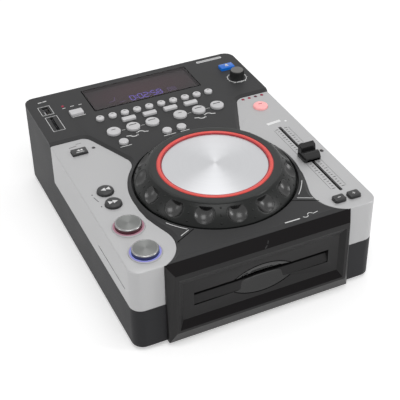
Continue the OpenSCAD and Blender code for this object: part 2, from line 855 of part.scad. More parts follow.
module display_module() {
    w = window_w - 2 * ledge_w + 8;
    l = window_l - 2 * ledge_w + 4;
    color("darkslategray") {
        translate([field_x, window_y, z_deck_in - module_h / 2]) difference() {
            cube([w, l, module_h], center = true);
            translate([0, 0, module_h / 2]) cube([w - 10, l - 6, 1.2], center = true);
        }
        for (i = [0:19]) translate([field_x + (i - 9.5) * 4, window_y - 12, z_board])
            cylinder(d = 1, h = z_deck_in - module_h - z_board + 0.5);
    }
}

module media_sockets() {
    usb_out = [usb_w + 2 * usb_wall, usb_l + 2 * usb_wall];
    color("silver") {
        difference() {
            slab(z_deck_in - usb_deep - 1, z_deck_in) translate([media_x, usb_y])
                square(usb_out, center = true);
            slab(z_deck_in - usb_deep, z_deck_in + through) translate([media_x, usb_y])
                square([usb_w, usb_l], center = true);
        }
        translate([media_x - usb_w / 2 + 0.9, usb_y, z_deck_in - usb_deep / 2])
            cube([1.8, usb_l - 1.6, usb_deep], center = true);
        difference() {
            slab(z_deck_in - card_deep - 1, z_deck_in) translate([media_x, card_y])
                square([card_w + 3, card_l + 3], center = true);
            slab(z_deck_in - card_deep, z_deck_in + through) translate([media_x, card_y])
                square([card_w, card_l], center = true);
        }
    }
}

module lamp_lenses() {
    for (p = LAMPS) color("crimson") translate([p[0], p[1], 0]) {
        translate([0, 0, p[2] - skin]) cylinder(d = lamp_d, h = skin + 0.3);
        translate([0, 0, p[2] - skin - 0.8]) cylinder(d = lamp_d + 1, h = 0.8);
    }
    for (k = KEYS) if (ringed(k)) color("lightblue") translate([k[1], k[2], 0]) difference() {
        union() {
            translate([0, 0, k[3] - skin]) cylinder(d = ring_outer_d(), h = skin + play_ring_rise);
            translate([0, 0, k[3] - skin - 1])
                cylinder(d = ring_outer_d() + 2 * play_ring_flange, h = 1);
        }
        translate([0, 0, k[3] - skin - 2]) cylinder(d = ring_inner_d(), h = skin + 5);
    }
}

// ---------- boards ----------

module board(b, z) {
    slab(z - board_t, z) translate([b[0], b[1]]) square([b[2] - b[0], b[3] - b[1]]);
}

module key_switch(k) {
    translate([k[1], k[2], z_board]) {
        translate([0, 0, switch_body_h / 2])
            cube([switch_w, switch_w, switch_body_h], center = true);
        cylinder(d = 3.4, h = switch_top_h);
    }
}

module key_boards() {
    color("darkgreen") for (b = KEY_BOARDS) board(b, z_board);
    color("black") for (k = KEYS) key_switch(k);
    color("gray") difference() {
        translate([knob_x, knob_y, z_board + 3.5]) cube([12, 12, 7], center = true);
        translate([knob_x, knob_y, z_board + 1])
            cylinder(d = knob_shaft_d + 2 * run_gap, h = 20);
    }
    color("lightgray") difference() {
        block([slider_x - 5, slider_y - slider_len / 2 - 4, z_board],
            [slider_x + 5, slider_y + slider_len / 2 + 4, z_board + 7]);
        block([slider_x - 2, slider_y - slider_len / 2, z_board + 1.5],
            [slider_x + 2, slider_y + slider_len / 2, z_board + 8]);
    }
    color("darkgreen") jog_sensor();
}

// The jog wheel's sensor: a fork under the well that the encoder disc runs in
module jog_sensor() {
    x0 = jog_x + encoder_d / 2 - 5;
    difference() {
        block([x0, jog_y - 6, encoder_z - 6], [x0 + 10, jog_y + 6, z_well_in]);
        block([x0 - through, jog_y - 7, encoder_z - 1],
            [x0 + 6.5, jog_y + 7, encoder_z + encoder_t + 1]);
    }
}

// A chip or a plug on a floor board
module part_box(x, y, w, l, h) {
    translate([x - w / 2, y - l / 2, low_board_z]) cube([w, l, h + board_t]);
}

module main_board() {
    b = LOW_BOARDS[0];
    z = low_board_z + board_t;
    color("darkgreen") board(b, z);
    color("black") {
        part_box(b[0] + 30, b[1] + 60, 20, 20, 1.6);
        part_box(b[0] + 62, b[1] + 60, 14, 14, 1.6);
        part_box(b[0] + 30, b[1] + 28, 10, 18, 1.4);
        part_box(b[0] + 84, b[1] + 40, 6, 40, 7);
        part_box(b[0] + 60, b[1] + 12, 44, 5, 7);
    }
    for (i = [0:3]) color("navy") translate([b[0] + 52 + i * 9, b[1] + 36, low_board_z])
        cylinder(d = 6.3, h = 11 + board_t);
}

module power_supply() {
    b = LOW_BOARDS[1];
    z = low_board_z + board_t;
    color("peru") board(b, z);
    color("gold") part_box(b[0] + 20, b[1] + 40, 24, 26, 22);
    color("black") part_box(b[0] + 42, b[1] + 40, 4, 40, 24);
    color("navy") translate([b[0] + 20, b[1] + 70, low_board_z])
        cylinder(d = 18, h = 30 + board_t);
    for (i = [0:2]) color("navy") translate([b[0] + 12 + i * 12, b[1] + 14, low_board_z])
        cylinder(d = 10, h = 16 + board_t);
}

// ---------- rear sockets ----------

module rear_sockets() {
    y_in = half_d - skin;
    for (x = PHONO_X) color("gold") difference() {
        union() {
            rod_y(x, z_rear, y_in - 1, half_d + phono_out, phono_d);
            rod_y(x, z_rear, half_d, half_d + 1.6, 11);
            block([x - 5.5, y_in - socket_in, z_rear - 6], [x + 5.5, y_in, z_rear + 6]);
        }
        rod_y(x, z_rear, half_d, half_d + phono_out + through, 3.2);
    }
    for (x = MINI_X) color("dimgray") difference() {
        union() {
            rod_y(x, z_rear, y_in - 1, half_d + 1.5, 6);
            block([x - 4, y_in - socket_in, z_rear - 4], [x + 4, y_in, z_rear + 4]);
        }
        rod_y(x, z_rear, half_d - 10, half_d + 3, 3.6);
    }
    color("#222222") power_inlet(y_in);
    color("#222222") rocker_housing(y_in);
}

// Two-pin mains inlet
module power_inlet(y_in) {
    difference() {
        union() {
            inlet_box(1.5, y_in - 14, half_d + 0.01);
            inlet_box(3.5, half_d, half_d + 1.5);
            inlet_box(3.5, y_in - 1.5, y_in);
        }
        inlet_box(0, y_in - 11, half_d + 3);
    }
    for (s = [-1, 1]) rod_y(inlet_x + s * 4.3, z_rear, y_in - 12, half_d - 1, 2.4);
}

module inlet_box(g, y0, y1) {
    block([inlet_x - inlet_w / 2 - g, y0, z_rear - inlet_h / 2 - g],
        [inlet_x + inlet_w / 2 + g, y1, z_rear + inlet_h / 2 + g]);
}

module rocker_box(g, gz, y0, y1) {
    block([rocker_x - rocker_w / 2 - g, y0, z_rear - rocker_half - gz],
        [rocker_x + rocker_w / 2 + g, y1, z_rear + rocker_half + gz]);
}

module rocker_housing(y_in) {
    difference() {
        union() {
            rocker_box(1.5, 2.5, y_in - 12, half_d + 0.01);
            rocker_box(3, 4, half_d, half_d + 1.5);
            rocker_box(3, 4, y_in - 1.5, y_in);
        }
        rocker_box(key_gap, 1.2, y_in - 9, half_d + 3);
        rod_x(half_d - 2, z_rear, rocker_x - rocker_w / 2 - 1.2, rocker_x + rocker_w / 2 + 1.2,
            2 + 2 * run_gap);
    }
}

// The rocker, with its lower half pressed in
module power_rocker() {
    color("red") translate([rocker_x, half_d - 2, z_rear]) {
        rotate([-rocker_tilt, 0, 0]) translate([-rocker_w / 2, 0, 0])
            rotate([90, 0, 90]) linear_extrude(rocker_w) polygon([
                [3, 0], [3 + rocker_half * tan(rocker_tilt), rocker_half],
                [-4, rocker_half * 0.6], [-4, -rocker_half * 0.6],
                [3 + rocker_half * tan(rocker_tilt), -rocker_half]]);
        rod_x(0, 0, -rocker_w / 2 - 1, rocker_w / 2 + 1, 2);
    }
}

// ---------- feet and screws ----------

module rubber_feet() {
    color("black") for (p = FEET) translate([p[0], p[1], 0]) cylinder(d = foot_d, h = foot_h);
}

module case_screws() {
    color("gray") for (p = CASE_POSTS) translate([p[0], p[1], screw_seat]) {
        translate([0, 0, -screw_head_h]) cylinder(d = screw_head_d, h = screw_head_h);
        cylinder(d = screw_d, h = screw_len);
    }
}

// ---------- jog wheel ----------

// The flank's outline from the skirt up to the rim, as [radius, height]
FLANK_RISE = [[0, 0], [0.1, 2.5], [2.4, 6.6], [5.9, 10.8], [9.6, 14.2], [13, 16.6]];
function flank_point(p) = [jog_r - p[0] * jog_slope_w / 15.4,
    jog_skirt_z + p[1] * (z_rim - jog_skirt_z) / 18];

// Centre of a dimple's ball: outside the flank's middle, square to the flank there
dimple_turn = 0.87;
function dimple_centre() = let (
    p = flank_point(FLANK_RISE[3]),
    along = flank_point(FLANK_RISE[4]) - flank_point(FLANK_RISE[2]),
    out = [along[1], -along[0]] / norm(along),
    c = p + (dimple_r - dimple_deep) * out
) [c[0], 0, c[1]];

module jog_profile() {
    flank = [for (p = FLANK_RISE) flank_point(p)];
    seat_r = ring_r + run_gap;
    shaft_r = jog_shaft_d / 2 - 0.01;
    polygon(concat([[ring_r - 9, z_rim - 5], [ring_r - 2.2, z_rim - 8],
        [jog_r - 3.4, jog_skirt_z + 1.5], [jog_r - 2.6, jog_skirt_z]], flank,
        [[rim_r, z_rim], [seat_r, z_rim], [seat_r, z_rim - ring_t],
        [shaft_r, z_rim - ring_t], [shaft_r, z_rim - 5]]));
}

module jog_wheel() {
    color("#303331") {
        translate([jog_x, jog_y, 0]) {
            difference() {
                rotate_extrude($fn = 180) jog_profile();
                for (i = [0:dimples - 1]) rotate([0, 0, 360 / dimples * (i + dimple_turn)])
                    translate(dimple_centre()) sphere(dimple_r);
            }
            jog_hub();
        }
    }
}

module jog_hub() {
    slab(encoder_z, z_rim - ring_t) circle(d = jog_shaft_d);
    slab(z_well + seat_gap, z_rim - 4) circle(d = hub_bearing_d);
    slab(encoder_z, encoder_z + encoder_t) circle(d = encoder_d);
}

module jog_light_ring() {
    color("tomato") translate([jog_x, jog_y, z_rim - ring_t]) difference() {
        cylinder(r = ring_r, h = ring_t + ring_rise);
        translate([0, 0, -through]) cylinder(r = plate_r + lens_gap, h = 5);
    }
}

module jog_plate() {
    color("lightgray") translate([jog_x, jog_y, z_rim - ring_t])
        cylinder(r = plate_r, h = ring_t);
}

// ---------- keys ----------

module key_cap(k) {
    z = k[3];
    under = ringed(k) ? 1 : 0;
    top = z - skin - under - seat_gap;
    tip = z_board + switch_top_h + k[8] + seat_gap;
    edge = min(0.6, k[7] / 3);
    color(k[9]) translate([k[1], k[2], 0]) {
        slab(top, z + k[7] - edge) key_outline(k);
        slab(z + k[7] - edge, z + k[7]) key_outline(k, -edge / 2);
        slab(top - flange_t, top) key_outline(k, flange_w);
        translate([0, 0, tip]) cylinder(d = stem_d, h = top - tip);
    }
}

// ---------- knob and slider ----------

module track_knob() {
    z0 = z_deck + seat_gap;
    color("#262626") translate([knob_x, knob_y, 0]) {
        difference() {
            translate([0, 0, z0]) cylinder(d = knob_d, h = knob_h - seat_gap);
            for (i = [0:17]) rotate([0, 0, i * 20])
                translate([knob_d / 2 + 0.4, 0, z0 + 1.5]) cylinder(d = 1.8, h = knob_h);
        }
        translate([0, 0, z_board + 1 + seat_gap])
            cylinder(d = knob_shaft_d, h = z0 - z_board - seat_gap);
    }
}

module pitch_slider() {
    z0 = z_wing + seat_gap;
    lever_w = slider_slot_w - 2 * key_gap;
    color("#222222") {
        translate([slider_x - cap_w / 2, slider_y, z0]) rotate([90, 0, 90])
            linear_extrude(cap_w) cap_side();
        block([slider_x - lever_w / 2, slider_y - 2, z_board + 3],
            [slider_x + lever_w / 2, slider_y + 2, z0 + 1]);
    }
}

// The cap's side outline, as shares of its length and height: ribs behind, a saddle, a hump
CAP_SIDE = [[-0.5, 0], [0.5, 0], [0.5, 0.3], [0.42, 0.86], [0.36, 0.86], [0.34, 1],
    [0.28, 1], [0.24, 0.88], [0.18, 1], [0.12, 0.98], [0.06, 0.6], [-0.08, 0.5],
    [-0.2, 0.66], [-0.32, 0.78], [-0.42, 0.72], [-0.49, 0.5]];
module cap_side() {
    polygon([for (p = CAP_SIDE) [p[0] * cap_l, p[1] * cap_h]]);
}

// ---------- disc drive ----------

module drive_frame() {
    color("lightsteelblue") difference() {
        union() {
            block([-drive_half, drive_front, z_drive],
                [drive_half, drive_rear, z_drive + sheet_t]);
            for (s = [0, 1]) mirror([s, 0, 0])
                block([drive_half - sheet_t, drive_front, z_drive],
                    [drive_half, drive_rear, z_bridge]);
            block([-drive_half, drive_rear - sheet_t, z_drive],
                [drive_half, drive_rear, z_bridge]);
            block([-drive_half, drive_front, z_bridge - sheet_t],
                [drive_half, drive_rear, z_bridge]);
        }
        translate([0, spindle_y, z_bridge - sheet_t - through])
            cylinder(d = clamp_hole_d, h = sheet_t + 2 * through);
        rod_x(roller_y, roller_z, -drive_half - through, drive_half + through,
            rod_d + 2 * run_gap);
    }
    color("gray") difference() {
        union() {
            translate([0, spindle_y, z_drive + sheet_t]) cylinder(r = motor_r, h = motor_h);
            translate([0, spindle_y, z_drive + sheet_t]) cylinder(d = 7, h = motor_h + 1.5);
        }
        translate([0, spindle_y, z_drive + sheet_t + 1])
            cylinder(d = spindle_d + 2 * run_gap, h = 20);
    }
    color("dimgray") {
        for (y = [block_front, block_rear]) difference() {
            block([-rail_x - 5, y, z_drive + sheet_t],
                [screw_x + 5, y + block_t, rail_z + 4]);
            rod_y(screw_x, rail_z, y - through, y + block_t + through, rod_d + 2 * run_gap);
        }
        for (s = [-1, 1]) rod_y(s * rail_x, rail_z, block_front, block_rear + block_t, rod_d);
        rod_y(screw_x, rail_z, block_front - 12, block_front - seat_gap, 11);
        block([screw_x - 5, block_front - 10, z_drive + sheet_t],
            [screw_x + 5, block_front - 4, rail_z]);
    }
}

module disc_turntable() {
    boss = z_drive + sheet_t + motor_h + 1.5 + seat_gap;
    color("#303030") translate([0, spindle_y, 0]) {
        translate([0, 0, hub_z - 3]) cylinder(d = hub_d, h = 3);
        translate([0, 0, hub_z]) cylinder(d1 = 14.8, d2 = 12, h = 1.5);
        translate([0, 0, boss]) cylinder(d = 9, h = hub_z - 3 - boss);
        translate([0, 0, z_drive + sheet_t + 2]) cylinder(d = spindle_d, h = boss - z_drive - 3);
    }
}

module disc_clamp() {
    low = z_path + path_h + 0.2;
    color("white") translate([0, spindle_y, 0]) {
        translate([0, 0, low]) cylinder(d = clamp_d, h = 2.6);
        translate([0, 0, low]) cylinder(d = clamp_hole_d - 3, h = z_bridge + seat_gap - low);
        translate([0, 0, z_bridge + seat_gap]) cylinder(d = clamp_hole_d + 5, h = 1.6);
    }
}

module pickup_sled() {
    color("#404048") {
        difference() {
            block([-rail_x - 5, sled_rest - sled_l / 2, rail_z - 3.5],
                [screw_x + 5, sled_rest + sled_l / 2, rail_z + 3.5]);
            for (x = [-rail_x, rail_x, screw_x])
                rod_y(x, rail_z, sled_rest - sled_l, sled_rest + sled_l, rod_d + 2 * run_gap);
        }
        translate([0, sled_rest, rail_z + 3.4]) cylinder(d = 9, h = 1.6);
    }
    color("skyblue") translate([0, sled_rest, rail_z + 4.9]) cylinder(d = 5, h = 0.8);
}

module lead_screw() {
    color("silver") rod_y(screw_x, rail_z, block_front + 0.2, block_rear + block_t, rod_d);
}

module load_roller() {
    color("#1c1c1c") {
        rod_x(roller_y, roller_z, -roller_half, roller_half, roller_d);
        rod_x(roller_y, roller_z, -drive_half, drive_half, rod_d);
    }
}

// ---------- what is drawn ----------

lower_case();
top_panel();
left_cover();
right_cover();
slot_bezel();
display_window();
display_module();
key_boards();
main_board();
power_supply();
drive_frame();
rear_sockets();
media_sockets();
lamp_lenses();
rubber_feet();
case_screws();
jog_wheel();
jog_light_ring();
jog_plate();
track_knob();
pitch_slider();
power_rocker();
disc_turntable();
disc_clamp();
pickup_sled();
lead_screw();
load_roller();
for (k = KEYS) key_cap(k);
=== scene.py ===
"""Dresses the tabletop disc player: shells with soft edges, the jog wheel, domed keys,
lamps, sockets and printed marks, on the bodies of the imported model.

Lengths are in millimetres, in the frame's own directions, unless a comment says
otherwise; finished() turns a built shape into a piece in metres."""
import json
import math

import bmesh
import bpy
from mathutils import Matrix, Vector


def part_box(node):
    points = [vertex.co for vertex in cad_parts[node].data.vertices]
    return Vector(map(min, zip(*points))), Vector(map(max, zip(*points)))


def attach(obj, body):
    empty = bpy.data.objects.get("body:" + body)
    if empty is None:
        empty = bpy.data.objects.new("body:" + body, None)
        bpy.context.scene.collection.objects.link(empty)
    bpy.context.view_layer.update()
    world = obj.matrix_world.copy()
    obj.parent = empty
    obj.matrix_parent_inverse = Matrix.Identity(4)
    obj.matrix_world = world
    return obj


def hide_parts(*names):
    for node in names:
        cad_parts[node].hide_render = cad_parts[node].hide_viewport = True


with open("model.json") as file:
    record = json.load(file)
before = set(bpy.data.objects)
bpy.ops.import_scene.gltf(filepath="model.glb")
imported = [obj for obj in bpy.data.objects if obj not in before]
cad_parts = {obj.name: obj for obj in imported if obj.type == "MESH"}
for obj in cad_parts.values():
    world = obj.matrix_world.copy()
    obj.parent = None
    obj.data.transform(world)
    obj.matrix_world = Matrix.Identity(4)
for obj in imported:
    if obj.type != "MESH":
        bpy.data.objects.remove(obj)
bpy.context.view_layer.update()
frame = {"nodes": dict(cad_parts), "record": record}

MM = 0.001
BODY_OF = {
    node: body
    for body, nodes in frame["record"]["behaviour"]["bodies"].items()
    for node in nodes
}


def low(node):
    """A node's lowest corner."""
    return Vector(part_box(node)[0]) / MM


def high(node):
    """A node's highest corner."""
    return Vector(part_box(node)[1]) / MM


def middle(node):
    """The middle of a node's box."""
    return (low(node) + high(node)) / 2


# Heights, walls and centres that the pieces share, from the frame
DECK = high("display_window").z
WING = high("left_cover").z
TABLE = low("rubber_feet").z
REAR = high("lower_case").y
FRONT = low("lower_case").y
SIDE = high("lower_case").x
POCKET = low("slot_bezel").y + 3.5
JOG = middle("jog_plate")
JOG_R = high("jog_wheel").x - JOG.x
JOG_TOP = high("jog_wheel").z
RING_R = high("jog_light_ring").x - JOG.x
PLATE_R = high("jog_plate").x - JOG.x
SLIDER = middle("pitch_slider")
KNOB = middle("track_knob")

# The deck's and covers' wall, the gap round moving pieces, a key's flange and stem, ink
SKIN = 2.5
SEAT_GAP = 0.3
FLANGE = 1.0
FLANGE_T = 0.8
STEM_R = 1.6
PRINT_T = 0.06

# Angles in degrees at which an edge counts as sharp, on shells, blocks and turned pieces
SHARP = 35
BLOCK_SHARP = 40
TURNED_SHARP = 50

# How close to a wall a point counts as on it, how close heights or radii count as the
# same, and how squarely a face has to face a side
TOUCH = 0.05
NEAR = 0.01
FACING = 0.99

# A Mix node's sockets: its factor, its two colours and the colour that it gives
MIX_SHARE, MIX_FIRST, MIX_SECOND, MIX_RESULT = 0, 6, 7, 2

# A quarter turn lays a brushed metal's gloss across its grooves
BRUSH_TURN = 0.25

# Distances from a key's middle, in metres, over which its light ring fades to the deeper
# line and then to the unlit edge
GLOW_LINE = (0.0114, 0.012)
GLOW_END = (0.0124, 0.0131)


# ---------- finishes ----------

class Wire:
    """What a node gives. Each operator adds the Math node that works it out."""

    def __init__(self, nodes, socket):
        self.nodes = nodes
        self.socket = socket

    def maths(self, operation, *values):
        """What a Math node makes of its values."""
        return self.nodes.node("ShaderNodeMath", {"operation": operation},
                               dict(enumerate(values)))

    def __add__(self, other):
        return self.maths("ADD", self, other)

    def __radd__(self, other):
        return self.maths("ADD", other, self)

    def __sub__(self, other):
        return self.maths("SUBTRACT", self, other)

    def __rsub__(self, other):
        return self.maths("SUBTRACT", other, self)

    def __mul__(self, other):
        return self.maths("MULTIPLY", self, other)

    def __rmul__(self, other):
        return self.maths("MULTIPLY", other, self)

    def __truediv__(self, other):
        return self.maths("DIVIDE", self, other)

    def between(self, start, end):
        """0 below start, 1 above end and even in between."""
        return self.nodes.node("ShaderNodeMapRange", {"clamp": True},
                               {"Value": self, "From Min": start, "From Max": end})


class Nodes:
    """A node tree, with one method that adds any node to it."""

    def __init__(self, tree):
        self.tree = tree

    def fill(self, made, values):
        """Gives a node's sockets their values, or links them to what wires give."""
        for key, value in values.items():
            if isinstance(value, Wire):
                self.tree.links.new(value.socket, made.inputs[key])
            else:
                made.inputs[key].default_value = value

    def node(self, kind, settings, values, output=0):
        """Adds a node, gives it its settings, then its sockets' values or links."""
        made = self.tree.nodes.new(kind)
        for key, value in settings.items():
            setattr(made, key, value)
        self.fill(made, values)
        return Wire(self, made.outputs[output])

    def rays(self):
        """One wire for each kind of ray that sees the floor and the sky as white."""
        return [self.node("ShaderNodeLightPath", {}, {}, kind)
                for kind in ("Is Camera Ray", "Is Glossy Ray", "Is Transmission Ray")]


class Finish(Nodes):
    """A material with one Principled surface, and the nodes that feed it."""

    def __init__(self, name, **constants):
        self.material = bpy.data.materials.new(name)
        self.material.use_nodes = True
        super().__init__(self.material.node_tree)
        self.tree.nodes.clear()
        self.surface = self.tree.nodes.new("ShaderNodeBsdfPrincipled")
        output = self.tree.nodes.new("ShaderNodeOutputMaterial")
        self.tree.links.new(self.surface.outputs["BSDF"], output.inputs["Surface"])
        for socket, value in constants.items():
            self.feed(socket.replace("_", " "), value)

    def feed(self, socket, value):
        """Sets one of the surface's sockets, to a constant or to what a wire gives."""
        self.fill(self.surface, {socket: value})

    def place(self, centre=(0, 0, 0)):
        """The point's place on the object, from a centre in millimetres, in metres."""
        spot = self.node("ShaderNodeTexCoord", {}, {}, "Object")
        return self.node("ShaderNodeVectorMath", {"operation": "SUBTRACT"},
                         {0: spot, 1: tuple(MM * c for c in centre)})

    def along(self, axis, vector):
        """A vector's part along X, Y or Z."""
        return self.node("ShaderNodeSeparateXYZ", {}, {0: vector}, axis)

    def across(self, centre):
        """Distance from an upright axis through a centre, in metres."""
        flat = self.node("ShaderNodeVectorMath", {"operation": "MULTIPLY"},
                         {0: self.place(centre), 1: (1, 1, 0)})
        return self.node("ShaderNodeVectorMath", {"operation": "LENGTH"}, {0: flat}, "Value")

    def noise(self, per_m, detail=2, stretch=(1, 1, 1)):
        """Even noise from 0 to 1, with about per_m lumps to the metre."""
        spot = self.node("ShaderNodeMapping", {},
                         {"Vector": self.place(), "Scale": stretch})
        return self.node("ShaderNodeTexNoise", {},
                         {"Vector": spot, "Scale": per_m, "Detail": detail})

    def rings(self, reach, per_m, **sockets):
        """Noise in rings: it changes only with the distance from an axis."""
        return self.node("ShaderNodeTexNoise", {"noise_dimensions": "1D"},
                         {"W": reach, "Scale": per_m, **sockets})

    def blend(self, share, first, second):
        """A colour between two colours."""
        first, second = (end if isinstance(end, Wire) else (*end, 1)
                         for end in (first, second))
        return self.node("ShaderNodeMix", {"data_type": "RGBA"},
                         {MIX_SHARE: share, MIX_FIRST: first, MIX_SECOND: second},
                         MIX_RESULT)

    def mottle(self, share, colour, darkest, lightest):
        """A base colour that a wire takes from darker to lighter."""
        self.feed("Base Color", self.blend(share, shade(colour, darkest),
                                           shade(colour, lightest)))

    def bump(self, height, depth):
        """Relief of a depth in metres."""
        self.feed("Normal", self.node("ShaderNodeBump", {},
                                      {"Height": height, "Distance": depth}))


def shade(colour, factor):
    """A colour made darker or lighter."""
    return tuple(min(1.0, c * factor) for c in colour)


def spread(share, start, end):
    """A number that goes from start to end as a wire goes from 0 to 1."""
    return start + (end - start) * share


def moulded(name, colour, rough=0.5, grain=2200, depth=0.00005, level=0.5):
    """Moulded plastic: a fine grain, slightly uneven colour and sheen."""
    made = Finish(name, Specular_IOR_Level=level)
    patches = made.noise(per_m=30, detail=3)
    grains = made.noise(per_m=grain, detail=3)
    made.mottle(0.7 * patches + 0.3 * grains, colour, darkest=0.86, lightest=1.14)
    made.feed("Roughness", spread(patches, rough - 0.06, rough + 0.06))
    made.bump(grains, depth)
    return made


def sleek(name, colour, rough, grain=3000, level=0.5):
    """Moulded plastic from a polished tool, with a grain too fine to feel."""
    return moulded(name, colour, rough, grain, depth=0.00001, level=level)


def painted(name, colour):
    """Satin metallic paint: fine flakes under a smooth coat with a slight orange peel."""
    made = Finish(name, Metallic=0.35, Coat_Weight=0.25, Coat_Roughness=0.22)
    flakes = made.noise(per_m=5200)
    peel = made.noise(per_m=420)
    drift = made.noise(per_m=14)
    made.mottle(0.6 * flakes + 0.4 * drift, colour, darkest=0.93, lightest=1.07)
    made.feed("Roughness", spread(flakes, 0.37, 0.47))
    made.bump(peel, depth=0.00002)
    return made


def polished(name, colour, rough=0.12):
    """Bright metal with faint smears and hair scratches."""
    made = Finish(name, Metallic=1.0)
    smears = made.noise(per_m=60, detail=3)
    hairs = made.noise(per_m=900, stretch=(1, 12, 1))
    made.mottle(smears, colour, darkest=0.94, lightest=1.05)
    made.feed("Roughness", rough + 0.1 * smears + 0.05 * hairs)
    return made


def drawn_metal(name, colour):
    """Sheet or rod with rolling marks along it."""
    made = Finish(name, Metallic=1.0)
    marks = made.noise(per_m=700, detail=3, stretch=(1, 0.06, 1))
    made.mottle(marks, colour, darkest=0.85, lightest=1.1)
    made.feed("Roughness", spread(marks, 0.26, 0.4))
    made.bump(marks, depth=0.00001)
    return made


def rubbery(name, colour, rough=0.75):
    """Soft, dull rubber with a little dust."""
    made = Finish(name, Specular_IOR_Level=0.35)
    grains = made.noise(per_m=3000, detail=3)
    dust = made.noise(per_m=45, detail=3)
    made.mottle(dust * dust, colour, darkest=1, lightest=1.5)
    made.feed("Roughness", spread(grains, rough, rough + 0.12))
    made.bump(grains, depth=0.00004)
    return made


def spun_metal(name, centre, colour, rough, stretch):
    """Metal brushed in rings on a lathe: its gloss spreads across the fine grooves."""
    made = Finish(name, Metallic=1.0, Anisotropic=stretch, Anisotropic_Rotation=BRUSH_TURN)
    reach = made.across(centre)
    grooves = made.rings(reach, per_m=2600, Detail=3, Roughness=0.7)
    bands = made.rings(reach, per_m=260, Detail=2)
    made.mottle(0.6 * grooves + 0.4 * bands, colour, darkest=0.93, lightest=1.06)
    made.feed("Roughness", spread(bands, rough - 0.04, rough + 0.04))
    return made


def glowing(name, colour, strength, rough=0.3):
    """Tinted plastic lit from inside, a little cloudy."""
    made = Finish(name, Emission_Strength=strength)
    cloud = made.noise(per_m=260)
    made.mottle(cloud, colour, darkest=0.9, lightest=1.1)
    made.feed("Emission Color", made.blend(cloud, shade(colour, 0.8), colour))
    made.feed("Roughness", spread(cloud, rough - 0.05, rough + 0.05))
    return made


def printed(name, grey, level=0.4):
    """Screen-printed ink, slightly uneven."""
    made = Finish(name, Specular_IOR_Level=level)
    cover = made.noise(per_m=1500)
    made.mottle(cover, (grey, grey, grey), darkest=0.88, lightest=1)
    made.feed("Roughness", spread(cover, 0.5, 0.65))
    return made


def glow_ring(name, centre, pale, line, strength):
    """Frosted ring round a key: pale and lit, with a deeper line at its outer edge."""
    made = Finish(name, Emission_Strength=strength)
    reach = made.across(centre)
    at_line = reach.between(*GLOW_LINE)
    past_line = reach.between(*GLOW_END)
    frost = made.noise(per_m=1800)
    lit = made.blend(at_line, pale, line)
    made.feed("Base Color", made.blend(past_line, lit, (0.5, 0.5, 0.51)))
    made.feed("Emission Color", made.blend(past_line, lit, (0, 0, 0)))
    made.feed("Roughness", spread(frost, 0.35, 0.55))
    return made


def smoked_glass(name):
    """Tinted, see-through window with a faint haze."""
    made = Finish(name, Coat_Roughness=0.04)
    haze = made.noise(per_m=25, detail=3)
    made.feed("Base Color", made.blend(haze, (0.02, 0.014, 0.017), (0.035, 0.022, 0.027)))
    made.feed("Roughness", spread(haze, 0.08, 0.16))
    made.feed("Alpha", spread(haze, 0.4, 0.46))
    return made


def display_face(name, centre, reach):
    """The lit field behind the digits: brownish, warmest round its middle."""
    made = Finish(name, Emission_Strength=0.45)
    x, y = (made.along(axis, made.place(centre)) / size for axis, size in zip("XY", reach))
    glow = 1 - (x * x + y * y).between(0.0, 1.1)
    dots = made.noise(per_m=600, detail=1)
    made.feed("Base Color", made.blend(dots, (0.02, 0.016, 0.018), (0.03, 0.022, 0.026)))
    made.feed("Emission Color", made.blend(glow, (0.03, 0.025, 0.027), (0.16, 0.06, 0.08)))
    made.feed("Roughness", spread(dots, 0.5, 0.6))
    return made


PANEL = moulded("panel_black", (0.046, 0.046, 0.047), rough=0.45, level=0.13)
CASE = moulded("case_dark", (0.0285, 0.0285, 0.0305), level=0.14)
BEZEL = moulded("bezel_black", (0.017, 0.0163, 0.0167), rough=0.36, level=0.2)
# Painted shade: a darker copy of the bezel's black, for its faces that face up and forward
BEZEL_PAINTED_SHADE = moulded("bezel_painted_shade", (0.009, 0.008, 0.0085), rough=0.45, level=0.06)
# Painted shade: the scoop's recess in a darker black than the bezel, and smoother
BEZEL_SCOOP_SHADE = sleek("bezel_scoop_shade", (0.005, 0.005, 0.005), rough=0.16, grain=2600)
SILVER = painted("silver_paint", (0.5, 0.5, 0.505))
FLANK = sleek("jog_flank", (0.008, 0.009, 0.0085), rough=0.28, grain=2600, level=0.24)
# Painted shade: the dimples take a darker base colour than the flank, and a stronger sheen
PIT_SHADE = sleek("jog_dimple_shade", (0.001, 0.001, 0.001), rough=0.27, grain=2600, level=0.7)
RIM = rubbery("jog_rim", (0.02, 0.021, 0.0205), rough=0.5)
CORAL = glowing("ring_coral", (0.74, 0.075, 0.06), strength=0.14)
CORAL_DEEP = glowing("ring_deep_red", (0.4, 0.02, 0.03), strength=0.1)
PLATE = spun_metal("plate_spun", JOG, (0.6, 0.605, 0.62), rough=0.3, stretch=0.85)
KEY_LIGHT = sleek("key_light", (0.65, 0.645, 0.655), rough=0.32)
KEY_DARK = sleek("key_dark", (0.03, 0.03, 0.031), rough=0.3, level=0.4)
KEY_PINK = glowing("key_pink", (0.9, 0.4, 0.4), strength=0.35)
KEY_BLUE = glowing("key_blue", (0.003, 0.13, 0.56), strength=0.22, rough=0.18)
CHROME = polished("chrome", (0.75, 0.75, 0.76))
KEY_RIM = polished("key_rim", (0.3, 0.3, 0.3), rough=0.16)
